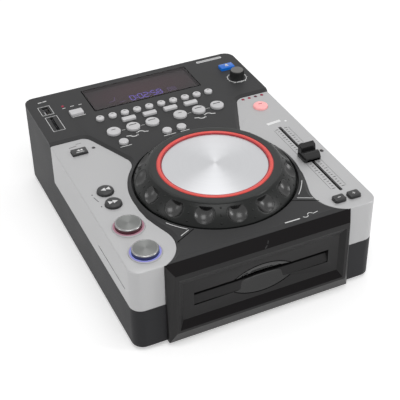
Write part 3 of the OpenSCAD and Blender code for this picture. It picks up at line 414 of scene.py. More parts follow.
# Painted reflection: the key sides take the colour of the light rings round them, and glow a
# little
SIDE_RED_REFLECTION = glowing("key_side_red_reflection", (0.05, 0.008, 0.014), strength=0.3)
SIDE_BLUE_REFLECTION = glowing("key_side_blue_reflection", (0.01, 0.014, 0.06), strength=0.5)
RUBBER = rubbery("rubber_black", (0.012, 0.012, 0.012))
SOFT_GREY = rubbery("knob_top_grey", (0.16, 0.155, 0.15), rough=0.5)
SLIDER_BLACK = sleek("slider_black", (0.012, 0.012, 0.0125), rough=0.2, level=0.4)
LENS_RED = glowing("lens_red", (0.3, 0.012, 0.045), strength=0.15, rough=0.15)
LENS_GREY = glowing("lens_grey", (0.05, 0.045, 0.048), strength=0.0, rough=0.2)
LENS_DARK = glowing("lens_dark", (0.11, 0.02, 0.04), strength=0.05, rough=0.15)
WHITE_INK = printed("ink_white", 0.85)
BRIGHT_INK = printed("ink_bright", 0.97)
GREY_INK = printed("ink_grey", 0.07, level=0.15)
PALE_INK = printed("ink_pale", 0.5)
BLACK_INK = printed("ink_black", 0.003, level=0.02)
GOLD = polished("gold_plate", (0.83, 0.6, 0.25), rough=0.2)
STEEL = drawn_metal("zinc_sheet", (0.62, 0.62, 0.64))
SCREW_STEEL = drawn_metal("screw_steel", (0.5, 0.5, 0.51))
SOCKET_BLACK = moulded("socket_black", (0.012, 0.012, 0.012), rough=0.4)
WHITE_PLASTIC = sleek("white_plastic", (0.75, 0.75, 0.74), rough=0.4)
RED_PLASTIC = sleek("red_plastic", (0.5, 0.03, 0.02), rough=0.4)
BOARD_GREEN = moulded("board_green", (0.02, 0.12, 0.05), rough=0.4)
BOARD_BLACK = moulded("board_black", (0.008, 0.009, 0.008), level=0.1)
BOARD_TAN = moulded("board_tan", (0.4, 0.26, 0.12))
MODULE = moulded("module_dark", (0.02, 0.02, 0.024))
WINDOW = smoked_glass("window_smoked")
DISPLAY = display_face("display_field", middle("display_window"), reach=(0.058, 0.022))
DIGITS = glowing("digits_violet", (0.16, 0.11, 0.55), strength=2.3)
DIGITS_DIM = glowing("digits_dim", (0.2, 0.12, 0.36), strength=0.7)


# ---------- making pieces ----------

def finished(name, bm, finishes, body, replaces=(), edge=0.0, sharp=SHARP, segments=2):
    """Turns a built shape into a piece on its body, with soft edges of a given width."""
    finishes = finishes if isinstance(finishes, (list, tuple)) else [finishes]
    bmesh.ops.scale(bm, vec=(MM,) * 3, verts=bm.verts)
    mesh = bpy.data.meshes.new(name)
    bm.to_mesh(mesh)
    bm.free()
    for finish in finishes:
        mesh.materials.append(finish.material)
    made = bpy.data.objects.new(name, mesh)
    bpy.context.collection.objects.link(made)
    mesh.polygons.foreach_set("use_smooth", [True] * len(mesh.polygons))
    mesh.set_sharp_from_angle(angle=math.radians(sharp))
    if edge:
        soft = made.modifiers.new("soft_edges", "BEVEL")
        soft.width = edge * MM
        soft.segments = segments
        soft.limit_method = "ANGLE"
        soft.angle_limit = math.radians(sharp)
        soft.use_clamp_overlap = False
        soft.harden_normals = True
    if replaces:
        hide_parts(*replaces)
    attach(made, body)
    return made


def node_copy(node):
    """A node's own shape, with its loose triangles merged into flats."""
    bm = bmesh.new()
    bm.from_mesh(frame["nodes"][node].data)
    bmesh.ops.scale(bm, vec=(1 / MM,) * 3, verts=bm.verts)
    bmesh.ops.remove_doubles(bm, verts=bm.verts, dist=0.002)
    bmesh.ops.dissolve_limit(bm, angle_limit=math.radians(0.6), verts=bm.verts,
                             edges=bm.edges)
    return bm


def softened(node, finishes, edge, sharp=SHARP, shape=None):
    """A node's own shape with soft edges, in its place. shape may alter it first."""
    bm = node_copy(node)
    if shape:
        shape(bm)
    return finished(node + "_shell", bm, finishes, BODY_OF[node], (node,), edge, sharp)


def put(bm, part, finish=None):
    """Adds a shape that was built apart to a piece, all in one finish if it is given."""
    if finish is not None:
        for face in part.faces:
            face.material_index = finish
    mesh = bpy.data.meshes.new("part")
    part.to_mesh(mesh)
    part.free()
    bm.from_mesh(mesh)
    bpy.data.meshes.remove(mesh)


def corners_in(grown):
    """The corners in what an extrude gives."""
    return [made for made in grown["geom"] if isinstance(made, bmesh.types.BMVert)]


def turned(bm, centre, profile, steps, finish=0):
    """Spins an outline of (radius, height) points round an upright axis."""
    part = bmesh.new()
    points = [part.verts.new((r, 0, z)) for r, z in profile]
    edges = [part.edges.new(pair) for pair in zip(points, points[1:])]
    bmesh.ops.spin(part, geom=points + edges, cent=(0, 0, 0), axis=(0, 0, 1),
                   angle=math.tau, steps=steps, use_merge=True)
    bmesh.ops.remove_doubles(part, verts=part.verts, dist=0.0005)
    bmesh.ops.recalc_face_normals(part, faces=part.faces)
    bmesh.ops.translate(part, vec=(centre[0], centre[1], 0), verts=part.verts)
    put(bm, part, finish)


def slab(bm, size, centre, corner=0.0, turn=0.0, finish=0):
    """A box, round at its upright corners, centred in X and Y, from centre.z upwards."""
    part = bmesh.new()
    bmesh.ops.create_cube(part, size=1)
    bmesh.ops.scale(part, vec=size, verts=part.verts)
    if corner:
        upright = [e for e in part.edges
                   if abs(e.verts[0].co.z - e.verts[1].co.z) > size[2] / 2]
        bmesh.ops.bevel(part, geom=upright, offset=corner, affect="EDGES", segments=5,
                        profile=0.5, material=-1)
    bmesh.ops.rotate(part, matrix=Matrix.Rotation(turn, 3, "Z"), verts=part.verts)
    bmesh.ops.translate(part, vec=Vector(centre[:]) + Vector((0, 0, size[2] / 2)),
                        verts=part.verts)
    put(bm, part, finish)


def bar(bm, start, end, width, z, thick=PRINT_T, finish=0):
    """A flat bar from one point to another."""
    start, end = Vector(start), Vector(end)
    along = end - start
    turn = math.atan2(along.y, along.x)
    slab(bm, (along.length, width, thick), (*((start + end) / 2), z), turn=turn,
         finish=finish)


def bars(bm, anchor, z, rows):
    """Flat bars. Each row is X and Y of a start and of an end, from an anchor, and a width."""
    for x0, y0, x1, y1, width in rows:
        bar(bm, (anchor[0] + x0, anchor[1] + y0), (anchor[0] + x1, anchor[1] + y1), width, z)


def prism(bm, points, z):
    """A flat shape with straight edges, as thick as ink."""
    part = bmesh.new()
    face = part.faces.new([part.verts.new((x, y, z)) for x, y in points])
    grown = bmesh.ops.extrude_face_region(part, geom=[face])
    bmesh.ops.translate(part, vec=(0, 0, PRINT_T), verts=corners_in(grown))
    bmesh.ops.recalc_face_normals(part, faces=part.faces)
    put(bm, part, 0)


def arc(bm, centre, radius, width, first, last, z, steps=24):
    """A flat arc, as thick as ink; its angles are in degrees from +X."""
    part = bmesh.new()
    start = math.radians(first)
    inner, outer = radius - width / 2, radius + width / 2
    section = [(inner, z), (outer, z), (outer, z + PRINT_T), (inner, z + PRINT_T)]
    face = part.faces.new([part.verts.new((r * math.cos(start), r * math.sin(start), h))
                           for r, h in section])
    bmesh.ops.spin(part, geom=[face], cent=(0, 0, 0), axis=(0, 0, 1),
                   angle=math.radians(last - first), steps=steps)
    bmesh.ops.recalc_face_normals(part, faces=part.faces)
    bmesh.ops.translate(part, vec=(centre[0], centre[1], 0), verts=part.verts)
    put(bm, part, 0)


def frame_line(bm, low_corner, high_corner, width, z):
    """A thin printed rectangle."""
    x0, y0 = low_corner
    x1, y1 = high_corner
    h = width / 2
    bars(bm, (0, 0), z, [(x0 - h, y0, x1 + h, y0, width), (x0 - h, y1, x1 + h, y1, width),
                         (x0, y0 + h, x0, y1 - h, width), (x1, y0 + h, x1, y1 - h, width)])


# ---------- casings ----------

# A cover's corner radius and its rounding; edges that turn less, in radians, stay as
# they are
COVER_CORNER = 10.0
COVER_EDGE = 1.1
EDGE_TURN = 1

# Where the groove in the left cover's side starts and ends, and how deep it is
GROOVE_Y = (-122.6, -63.0)
GROOVE_Z = (55.6, 56.3)
GROOVE_DEPTH = 0.5

# Half the width of the bezel's scoop faces that take painted shade, their heights and their
# largest area
SCOOP_X = 40
SCOOP_Z = (28, 60)
SCOOP_FACE = 60


def on_outer_wall(point):
    """Whether a point is on a cover's side, its front or the round corner between."""
    inwards, back = SIDE - abs(point.x), point.y - FRONT
    if min(abs(inwards), abs(back)) < TOUCH:
        return True
    radius = math.hypot(inwards - COVER_CORNER, back - COVER_CORNER)
    return (max(inwards, back) < COVER_CORNER + 2 * TOUCH
            and abs(radius - COVER_CORNER) < TOUCH)


def lift_outer_edges(bm):
    """Rounds a cover's outer top edges, which are softer than its other edges."""
    outer = [e for e in bm.edges
             if all(abs(v.co.z - WING) < NEAR and on_outer_wall(v.co) for v in e.verts)
             and e.calc_face_angle(0) > EDGE_TURN]
    bmesh.ops.bevel(bm, geom=outer, offset=COVER_EDGE, affect="EDGES", segments=4,
                    profile=0.5, material=-1)


def left_side(bm):
    """The faces of the left cover's outer side."""
    return [face for face in bm.faces
            if face.normal.x < -FACING and face.calc_center_median().x < TOUCH - SIDE]


def cut_side_groove(bm):
    """Rounds the left cover's edges, then sinks a dark groove along its outer side."""
    lift_outer_edges(bm)
    cuts = [((0, y, 0), (0, 1, 0)) for y in GROOVE_Y]
    cuts += [((0, 0, z), (0, 0, 1)) for z in GROOVE_Z]
    for spot, normal in cuts:
        side = left_side(bm)
        edges = dict.fromkeys(edge for face in side for edge in face.edges)
        verts = dict.fromkeys(vert for face in side for vert in face.verts)
        bmesh.ops.bisect_plane(bm, geom=[*side, *edges, *verts], plane_co=spot,
                               plane_no=normal, dist=0.001)
    strip = []
    for face in left_side(bm):
        spot = face.calc_center_median()
        if GROOVE_Y[0] < spot.y < GROOVE_Y[1] and GROOVE_Z[0] < spot.z < GROOVE_Z[1]:
            face.material_index = 1
            strip.append(face)
    grown = bmesh.ops.extrude_face_region(bm, geom=strip)
    bmesh.ops.translate(bm, vec=(GROOVE_DEPTH, 0, 0), verts=corners_in(grown))
    bmesh.ops.delete(bm, geom=[face for face in strip if face.is_valid],
                     context="FACES_ONLY")


def paint_shade_on_slopes(bm):
    """Paints shade on the bezel: the up- and forward-facing top strip and pocket floor take a
    darker finish, and the scoop, as painted shade in its recess, a darker, smoother one."""
    # Finishes with painted shade: deep for the slopes, scoop for the scoop's recess
    deep, scoop = 1, 2
    for face in bm.faces:
        spot, normal = face.calc_center_median(), face.normal
        # Painted shade on the top strip and the pocket's floor
        if normal.z > 0.3 and normal.y < -0.05:
            face.material_index = deep
        # Painted shade in the scoop: its faces take the darker, smoother finish
        if (spot.y > POCKET + TOUCH and abs(spot.x) < SCOOP_X
                and SCOOP_Z[0] < spot.z < SCOOP_Z[1]
                and normal.y < -0.2 and face.calc_area() < SCOOP_FACE):
            face.material_index = scoop


# Inner pieces that only the disc slot and the sockets give a view of
INNER = {
    "display_module": MODULE, "key_boards": BOARD_BLACK, "main_board": BOARD_GREEN,
    "power_supply": BOARD_TAN, "drive_frame": STEEL, "disc_turntable": SOCKET_BLACK,
    "disc_clamp": WHITE_PLASTIC, "pickup_sled": MODULE, "lead_screw": SCREW_STEEL,
    "load_roller": RUBBER,
}

softened("lower_case", CASE, edge=0.35)
top_shell = softened("top_panel", PANEL, edge=0.3, sharp=28)
softened("left_cover", [SILVER, BLACK_INK], edge=0.22, shape=cut_side_groove)
softened("right_cover", SILVER, edge=0.22, shape=lift_outer_edges)
# The bezel's slopes and scoop take painted shade
bezel_shell = softened("slot_bezel", [BEZEL, BEZEL_PAINTED_SHADE, BEZEL_SCOOP_SHADE], edge=0.4, sharp=20,
                       shape=paint_shade_on_slopes)
for shell in (top_shell, bezel_shell):
    shell.modifiers["soft_edges"].use_clamp_overlap = True
softened("display_window", WINDOW, edge=0.12)
softened("rear_sockets", SOCKET_BLACK, edge=0.2)
softened("power_rocker", SLIDER_BLACK, edge=0.3)
softened("case_screws", SCREW_STEEL, edge=0.2)
softened("media_sockets", STEEL, edge=0.08)
for node, finish in INNER.items():
    softened(node, finish, edge=0.15)


# ---------- jog wheel ----------

JOG_SEAT = JOG_TOP - 2
JOG_SKIRT = JOG_TOP - 18
RIM_WALL = RING_R + 6.9
RIM_EDGE = RIM_WALL - 0.3

# A dimple is a ball pressed into the flank: the ball's radius, its centre's radius and
# height, the dimple's inner edge and lowest height, the count and the turn in pitches
BALL_R = 11.4
BALL_OUT = JOG_R - 1.2
BALL_Z = JOG_TOP - 1.4
DIMPLE_EDGE = RIM_WALL + 1.9
DIMPLE_LOW = JOG_TOP - 16.5
DIMPLES = 15
DIMPLE_TURN = 0.87

# Radius, height and tilt of the grip dots between two dimples
GRIP_DOTS = ((JOG_R - 10.6, JOG_TOP - 3.15, 0.66), (JOG_R - 5.9, JOG_TOP - 7.2, 0.82),
             (JOG_R - 1.9, JOG_TOP - 12.3, 1.15))
DOT_R = 0.95
DOT_FLAT = 0.55

# The light ring's bright band lies between two deep red lines
RING_LINE = PLATE_R + 1.0
RING_EDGE = RING_R - 0.6
RING_RISE = 0.75
PLATE_DOME = 1.1


def curve_through(points, parts):
    """Points on a smooth curve through the given ones."""
    ends = [points[0], *points, points[-1]]
    made = []
    for a, b, c, d in zip(ends, ends[1:], ends[2:], ends[3:]):
        for i in range(parts):
            t = i / parts
            made.append(tuple(
                0.5 * (2 * q + (r - p) * t + (2 * p - 5 * q + 4 * r - s) * t * t
                       + (3 * q - p - 3 * r + s) * t * t * t)
                for p, q, r, s in zip(a, b, c, d)))
    return made + [points[-1]]


def jog_outline():
    """The wheel's half section, from its seat for the plate to the foot of its shaft."""
    flank = curve_through([(RIM_WALL, JOG_TOP - 1.5), (DIMPLE_EDGE, JOG_TOP - 2.7),
                           (JOG_R - 9.6, JOG_TOP - 3.8),
                           (JOG_R - 5.9, JOG_TOP - 7.2), (JOG_R - 2.4, JOG_TOP - 11.4),
                           (JOG_R - 0.1, JOG_TOP - 15.5), (JOG_R, JOG_SKIRT)], 9)
    seat_r = RING_R + 0.05
    boss_r, shaft_r, foot_r = 11, 5, 17
    boss_low = DECK - 6 + SEAT_GAP
    shaft_low = low("jog_wheel").z
    return [(0, JOG_SEAT), (seat_r, JOG_SEAT), (seat_r, JOG_TOP),
            (RIM_WALL - 2.4, JOG_TOP), (RIM_WALL - 1.0, JOG_TOP - 0.25),
            (RIM_WALL - 0.7, JOG_TOP - 0.75), (RIM_WALL - 0.35, JOG_TOP - 0.75),
            (RIM_WALL - 0.2, JOG_TOP - 0.9), *flank,
            (JOG_R - 2.6, JOG_SKIRT), (JOG_R - 3.4, JOG_SKIRT + 1.5),
            (RING_R - 2.2, JOG_TOP - 8), (RING_R - 9, JOG_TOP - 5), (boss_r, JOG_TOP - 5),
            (boss_r, boss_low), (shaft_r, boss_low), (shaft_r, shaft_low + 1),
            (foot_r, shaft_low + 1), (foot_r, shaft_low), (0, shaft_low)]


def nearest_ball(x, y):
    """The centre of the ball that presses the dimple nearest to a point."""
    pitch = math.tau / DIMPLES
    turn = math.atan2(y, x) / pitch - DIMPLE_TURN
    angle = (round(turn) + DIMPLE_TURN) * pitch
    return Vector((JOG.x + BALL_OUT * math.cos(angle), JOG.y + BALL_OUT * math.sin(angle),
                   BALL_Z))


def jog_wheel():
    """The wheel: its rim, and a flank with finger dimples that are flat on top and carry
    painted shade.
    """
    flank, rim, pit = range(3)
    bm = bmesh.new()
    turned(bm, JOG, jog_outline(), steps=540)
    pressed = set()
    for vert in bm.verts:
        x, y = vert.co.x - JOG.x, vert.co.y - JOG.y
        if math.hypot(x, y) < DIMPLE_EDGE - NEAR or vert.co.z < DIMPLE_LOW:
            continue
        ball = nearest_ball(x, y)
        away = vert.co - ball
        if away.length < BALL_R and away.z < 0:
            vert.co = ball + away.normalized() * BALL_R
            x, y = vert.co.x - JOG.x, vert.co.y - JOG.y
            inner = math.hypot(x, y)
            if inner < DIMPLE_EDGE:
                vert.co.x = JOG.x + x * DIMPLE_EDGE / inner
                vert.co.y = JOG.y + y * DIMPLE_EDGE / inner
            pressed.add(vert)
    for face in bm.faces:
        spot = face.calc_center_median()
        reach = math.hypot(spot.x - JOG.x, spot.y - JOG.y)
        face.material_index = rim if reach < RIM_EDGE else flank
        # Painted shade: a face pressed into a dimple takes the darker dimple finish
        if all(vert in pressed for vert in face.verts):
            face.material_index = pit
    finished("jog_wheel_turned", bm, [FLANK, RIM, PIT_SHADE], "jog", ("jog_wheel",),
             sharp=TURNED_SHARP)


def jog_grip_dots():
    """Three small raised dots between each two dimples."""
    bm = bmesh.new()
    for i in range(DIMPLES):
        angle = (i + 0.5 + DIMPLE_TURN) * math.tau / DIMPLES
        for radius, height, tilt in GRIP_DOTS:
            dot = bmesh.ops.create_uvsphere(bm, u_segments=14, v_segments=8, radius=DOT_R)
            bmesh.ops.scale(bm, vec=(1, 1, DOT_FLAT), verts=dot["verts"])
            bmesh.ops.rotate(bm, matrix=Matrix.Rotation(tilt, 3, "Y"), verts=dot["verts"])
            bmesh.ops.translate(bm, vec=(radius, 0, height), verts=dot["verts"])
            bmesh.ops.rotate(bm, matrix=Matrix.Rotation(angle, 3, "Z"), verts=dot["verts"])
            bmesh.ops.translate(bm, vec=(JOG.x, JOG.y, 0), verts=dot["verts"])
    finished("jog_grip_dots", bm, FLANK, "jog")


def jog_ring():
    """The light ring: a rounded bright band between two deep red lines."""
    top = high("jog_light_ring").z
    gap = 0.02
    angles = [math.pi * i / 8 for i in range(9)]
    band = [(RING_LINE + (RING_EDGE - RING_LINE) * (0.5 - 0.5 * math.cos(angle)),
             top - RING_RISE + RING_RISE * math.sin(angle)) for angle in angles]
    bm = bmesh.new()
    turned(bm, JOG, [(RING_LINE, JOG_SEAT), *band, (RING_EDGE, JOG_SEAT),
                     (RING_LINE, JOG_SEAT)], steps=180)
    for inner, outer, upper in ((RING_EDGE + gap, RING_R, top - 0.8),
                                (PLATE_R + 0.1, RING_LINE - gap, JOG_TOP - 0.1)):
        turned(bm, JOG, [(inner, JOG_SEAT), (inner, upper), (outer, upper),
                         (outer, JOG_SEAT), (inner, JOG_SEAT)], steps=180, finish=1)
    finished("jog_ring_lit", bm, [CORAL, CORAL_DEEP], "jog", ("jog_light_ring",),
             sharp=TURNED_SHARP)


def jog_plate():
    """The brushed plate, which is highest in its middle."""
    steps = 12
    dome = [(PLATE_R * i / steps, JOG_TOP - PLATE_DOME * (i / steps) ** 2)
            for i in range(steps)]
    bm = bmesh.new()
    turned(bm, JOG, [*dome, (PLATE_R - 0.3, JOG_TOP - PLATE_DOME), (PLATE_R, JOG_TOP - 1.5),
                     (PLATE_R, JOG_SEAT), (0, JOG_SEAT)], steps=180)
    finished("jog_plate_brushed", bm, PLATE, "jog", ("jog_plate",))


jog_wheel()
jog_grip_dots()
jog_ring()
jog_plate()


# ---------- keys ----------

# Thickness of a light ring's lip under the cover; the key in it has its flange below that
RING_LIP = 1.0

# A round cap's dome takes this share of its radius, in this many rings, and then comes
# a shoulder with points at these angles
DOME_SHARE = 0.94
DOME_RINGS = 8
SHOULDER = (0.5, 0.9, 1.25, math.pi / 2)


def key_levels(node, panel, lip=0.0):
    """Top, flange top, flange bottom and stem tip of a key."""
    flange_top = panel - SKIN - lip - SEAT_GAP
    return high(node).z, flange_top, flange_top - FLANGE_T, low(node).z


def cap_radius(node):
    """The radius of a round key's cap, inside its flange."""
    return (high(node).x - low(node).x) / 2 - FLANGE


def flange_and_stem(radius, flange_top, flange_low, tip):
    """The lower part of a round key's half section, from its flange to its stem's tip."""
    return [(radius, flange_top), (radius + FLANGE, flange_top),
            (radius + FLANGE, flange_low), (STEM_R, flange_low), (STEM_R, tip), (0, tip)]


def round_key(node, panel, finish, dome):
    """A round cap with a domed top, its flange and its stem."""
    top, *lower = key_levels(node, panel)
    radius = cap_radius(node)
    edge = min(0.7, radius / 8)
    cap = [(radius * i / DOME_RINGS * DOME_SHARE, top - dome * (i / DOME_RINGS) ** 2)
           for i in range(DOME_RINGS + 1)]
    shoulder = [(radius - edge + edge * math.sin(a), top - dome - edge + edge * math.cos(a))
                for a in SHOULDER]
    bm = bmesh.new()
    turned(bm, middle(node), [*cap, *shoulder, *flange_and_stem(radius, *lower)], steps=48)
    finished(node + "_cap", bm, finish, node, (node,), sharp=TURNED_SHARP)


def box_key(node, panel, finish, corner, edge, roll=0.0):
    """A rectangular cap with soft edges; roll arches its top from front to back."""
    top, flange_top, flange_low, tip = key_levels(node, panel)
    size = high(node) - low(node)
    spot = middle(node)
    bm = bmesh.new()
    slab(bm, (size.x - 2 * FLANGE, size.y - 2 * FLANGE, top - flange_top),
         (spot.x, spot.y, flange_top), corner)
    upper = [e for e in bm.edges if all(v.co.z > top - NEAR for v in e.verts)]
    bmesh.ops.bevel(bm, geom=upper, offset=edge, affect="EDGES", segments=4, profile=0.5,
                    material=-1)
    if roll:
        half = size.y / 2 - FLANGE
        for vert in bm.verts:
            if vert.co.z > top - edge - NEAR:
                vert.co.z -= roll * ((vert.co.y - spot.y) / half) ** 2
    slab(bm, (size.x, size.y, FLANGE_T), (spot.x, spot.y, flange_low), corner + FLANGE)
    stem_top = flange_low + 0.1
    turned(bm, spot, [(0, stem_top), (STEM_R, stem_top), (STEM_R, tip), (0, tip)], steps=24)
    finished(node + "_cap", bm, finish, node, (node,), sharp=BLOCK_SHARP)


def transport_key(node, panel, brushed, side):
    """Cue and play: a brushed disc with a rounded bright edge, and a dark side that faintly
    glows in its ring's colour as a painted reflection of the ring.
    """
    top, *lower = key_levels(node, panel, RING_LIP)
    radius = cap_radius(node)
    spot = middle(node)
    roll = 1.1
    disc = radius - roll
    inlay = [(disc - 0.4, top - 0.2), (disc - 0.2, top - 0.03)]
    angles = [math.pi / 2 * i / 6 for i in range(6)]
    rim = [(disc + roll * math.sin(a), top - roll + roll * math.cos(a)) for a in angles]
    bm = bmesh.new()
    turned(bm, spot, [(0, top - 0.2), *inlay], steps=96)
    turned(bm, spot, [inlay[-1], *rim], steps=96, finish=1)
    turned(bm, spot, [rim[-1], (radius, top - roll), *flange_and_stem(radius, *lower)],
           steps=96, finish=2)
    bmesh.ops.remove_doubles(bm, verts=bm.verts, dist=0.001)
    bmesh.ops.recalc_face_normals(bm, faces=bm.faces)
    finished(node + "_cap", bm, [brushed, KEY_RIM, side], node, (node,), sharp=BLOCK_SHARP)


for kind, count, dome in (("track_key", 10, 0.7), ("loop_key", 6, 0.6), ("mode_key", 3, 0.6)):
    for i in range(count):
        round_key(f"{kind}_{i + 1}", DECK, KEY_LIGHT, dome)
for i in range(4):
    box_key(f"bar_key_{i + 1}", DECK, KEY_LIGHT, corner=1.0, edge=0.5, roll=0.7)
box_key("source_key", DECK, KEY_LIGHT, corner=0.8, edge=0.6, roll=0.3)
box_key("eject_key", DECK, KEY_BLUE, corner=0.8, edge=0.8, roll=0.3)
box_key("skip_key", WING, KEY_DARK, corner=0.6, edge=0.4)
box_key("bend_minus_key", WING, KEY_DARK, corner=1.6, edge=0.6)
box_key("bend_plus_key", WING, KEY_DARK, corner=1.6, edge=0.6)
round_key("pitch_key", WING, KEY_PINK, dome=0.8)
round_key("search_back_key", WING, KEY_DARK, dome=0.5)
round_key("search_ahead_key", WING, KEY_DARK, dome=0.5)
# Each key's side carries a painted reflection of its ring
for name, side in (("cue_key", SIDE_RED_REFLECTION), ("play_key", SIDE_BLUE_REFLECTION)):
    transport_key(name, WING, spun_metal(name + "_spun", middle(name), (0.2, 0.205, 0.2),
                                         rough=0.34, stretch=0.8), side)


# ---------- marks on keys ----------

# How far inside its cap a mark starts, and how far above that a line on a dome ends
SIGN_SUNK = 0.02
DASH_PROUD = 0.03


def triangles(bm, spot, z, size, turn, count):
    """Solid triangles one after another, pointing the way turn gives."""
    for i in range(count):
        shift = (i - (count - 1) / 2) * size * 0.95
        points = [(shift - size / 2, -size * 0.55), (shift + size / 2, 0),
                  (shift - size / 2, size * 0.55)]
        points = [(spot[0] + x * math.cos(turn) - y * math.sin(turn),
                   spot[1] + x * math.sin(turn) + y * math.cos(turn)) for x, y in points]
        prism(bm, points, z)


def back_sign(bm, c, z):
    """Two triangles that point left."""
    triangles(bm, c, z, 4.2, math.pi, 2)


def ahead_sign(bm, c, z):
    """Two triangles that point right."""
    triangles(bm, c, z, 4.2, 0, 2)


def skip_sign(bm, c, z):
    """Two small triangles over a line."""
    triangles(bm, (c.x + 0.4, c.y + 0.4), z, 2.9, math.pi, 2)
    bars(bm, c, z, [(-3.4, -2.3, 3.8, -2.3, 0.6)])


def eject_sign(bm, c, z):
    """A triangle that points to the rear, over a line."""
    triangles(bm, (c.x, c.y + 1.0), z, 3.0, math.pi / 2, 1)
    bars(bm, c, z, [(-1.8, -1.4, 1.8, -1.4, 0.8)])


def minus_sign(bm, c, z):
    """A short line."""
    bars(bm, c, z, [(-1.3, 0, 1.3, 0, 0.7)])


def plus_sign(bm, c, z):
    """Two short lines that cross."""
    bars(bm, c, z, [(-1.3, 0, 1.3, 0, 0.7), (0, -1.3, 0, 1.3, 0.7)])


def dash(half, back, width, sunk):
    """Makes a sign: one line across a domed cap, sunk to where the dome is lowest."""
    def sign(bm, c, z):
        bar(bm, (c.x - half, c.y + back), (c.x + half, c.y + back), width, z - sunk,
            thick=sunk + DASH_PROUD)
    return sign


def key_mark(node, finish, sign):
    """A printed mark on a key's top."""
    bm = bmesh.new()
    sign(bm, middle(node), high(node).z - SIGN_SUNK)
    finished(node + "_mark", bm, finish, node)


small_dash = dash(1.1, 0.5, 0.6, 0.06)
short_dash = dash(1.9, 0.9, 0.9, 0.1)
long_dash = dash(3.4, 1.2, 1.0, 0.2)
for node, sign in (("search_back_key", back_sign), ("search_ahead_key", ahead_sign),
                   ("skip_key", skip_sign), ("eject_key", eject_sign),
                   ("bend_minus_key", minus_sign), ("bend_plus_key", plus_sign)):
    key_mark(node, WHITE_INK, sign)
for kind, numbers, sign in (("loop_key", (1, 4), short_dash),
                            ("loop_key", (2, 3, 5, 6), long_dash),
                            ("track_key", range(1, 11), small_dash)):
    for i in numbers:
        key_mark(f"{kind}_{i}", GREY_INK, sign)
key_mark("pitch_key", LENS_RED, short_dash)


# ---------- knob and slider ----------

KNOB_RIBS = 24
KNOB_RIB = (0.9, 0.75)
KNOB_CAP = 0.8
SLIDER_RIBS = 3


def knob():
    """A ribbed soft column with a grey cap that dips across its middle."""
    top, tip = high("track_knob").z, low("track_knob").z
    foot = DECK + SEAT_GAP
    cap_low = top - KNOB_CAP
    bm = bmesh.new()
    turned(bm, KNOB, [(0, foot), (7.2, foot), (7.2, foot + 0.8), (6.75, foot + 1.5),
                      (6.5, top - 1.4), (5.9, cap_low), (0, cap_low)], steps=96)
    for i in range(KNOB_RIBS):
        angle = math.tau * i / KNOB_RIBS
        spot = (KNOB.x + 6.45 * math.cos(angle), KNOB.y + 6.45 * math.sin(angle), foot + 1.0)
        slab(bm, (*KNOB_RIB, top - foot - 2.6), spot, turn=angle)
    turned(bm, KNOB, [(0, foot + 1), (3, foot + 1), (3, tip), (0, tip)], steps=32)
    turned(bm, KNOB, [(0, cap_low), (5.9, cap_low), (6.1, top - 0.5), (5.9, top - 0.1),
                      (5.4, top), (4.2, top - 0.15), (0, top - 0.45)], steps=64, finish=1)
    finished("knob_turned", bm, [RUBBER, SOFT_GREY], BODY_OF["track_knob"],
             ("track_knob",), sharp=BLOCK_SHARP)


def slider_outline(half, tall):
    """The slider cap's side: a round hump in front, a steep drop, then low ribs behind.
    Points are (distance behind the middle, height)."""
    outline = [(-half, 0), (-half, 2.4), (-half + 0.6, 4.4), (-half + 1.8, 6.1),
               (-half + 3.4, 7.1), (-half + 5.0, 7.3), (-half + 6.5, 6.7), (-half + 7.8, 5.6),
               (-half + 8.6, 4.9), (-half + 9.0, 5.0), (-half + 9.7, tall - 1.9)]
    for i in range(SLIDER_RIBS):
        crest = -half + 10.2 + 1.55 * i
        rise = tall - 0.7 + 0.35 * i
        outline += [(crest, rise - 0.6), (crest + 0.25, rise), (crest + 0.75, rise),
                    (crest + 1.0, rise - 0.6)]
    return outline + [(half - 0.5, tall - 2.2), (half, tall - 5.5), (half, 0)]


def slider_cap():
    """The slider's cap on a thin round-cornered foot, and the stem in its slot."""
    lo, hi = low("pitch_slider"), high("pitch_slider")
    foot = WING + SEAT_GAP
    half = (hi.y - lo.y) / 2
    inset = 1.3
    x0, x1 = lo.x + inset, hi.x - inset
    bm = bmesh.new()
    body = bmesh.new()
    face = body.faces.new([body.verts.new((x0, SLIDER.y + y, foot + z))
                           for y, z in slider_outline(half, hi.z - foot)])
    grown = bmesh.ops.extrude_face_region(body, geom=[face])
    bmesh.ops.translate(body, vec=(x1 - x0, 0, 0), verts=corners_in(grown))
    bmesh.ops.recalc_face_normals(body, faces=body.faces)
    put(bm, body, 0)
    slab(bm, (hi.x - lo.x, 2 * half, 2.2), (SLIDER.x, SLIDER.y, foot), corner=2.6)
    slab(bm, (2.4, 4, foot + 1 - lo.z), (SLIDER.x, SLIDER.y, lo.z))
    finished("pitch_slider_cap", bm, SLIDER_BLACK, BODY_OF["pitch_slider"],
             ("pitch_slider",), edge=0.25, sharp=30, segments=3)


knob()
slider_cap()


# ---------- lamps and light rings ----------

def lamps():
    """Small domed lenses in the deck and the covers. The row of four has one dark lens."""
    source, skip = middle("source_key"), middle("skip_key")
    red, dark, grey = range(3)
    spots = [(source.x - 8, REAR - 26.4, DECK, red), (skip.x + 14, skip.y + 1.8, WING, grey),
             (SIDE - 5.5, SLIDER.y + 4.4, WING, grey)]
    spots += [(SIDE - 28.5 + i * 6.7, REAR - 87.6, WING, lens)
              for i, lens in enumerate((red, red, dark, red))]
    bm = bmesh.new()
    for x, y, z, lens in spots:
        turned(bm, (x, y), [(0, z + 0.7), (0.6, z + 0.62), (1.1, z + 0.4), (1.45, z + 0.1),
                            (1.5, z - SKIN), (2, z - SKIN), (2, z - SKIN - 0.8),
                            (0, z - SKIN - 0.8)], steps=24, finish=lens)
    finished("lamp_domes", bm, [LENS_RED, LENS_DARK, LENS_GREY], "case", ("lamp_lenses",),
             sharp=TURNED_SHARP)


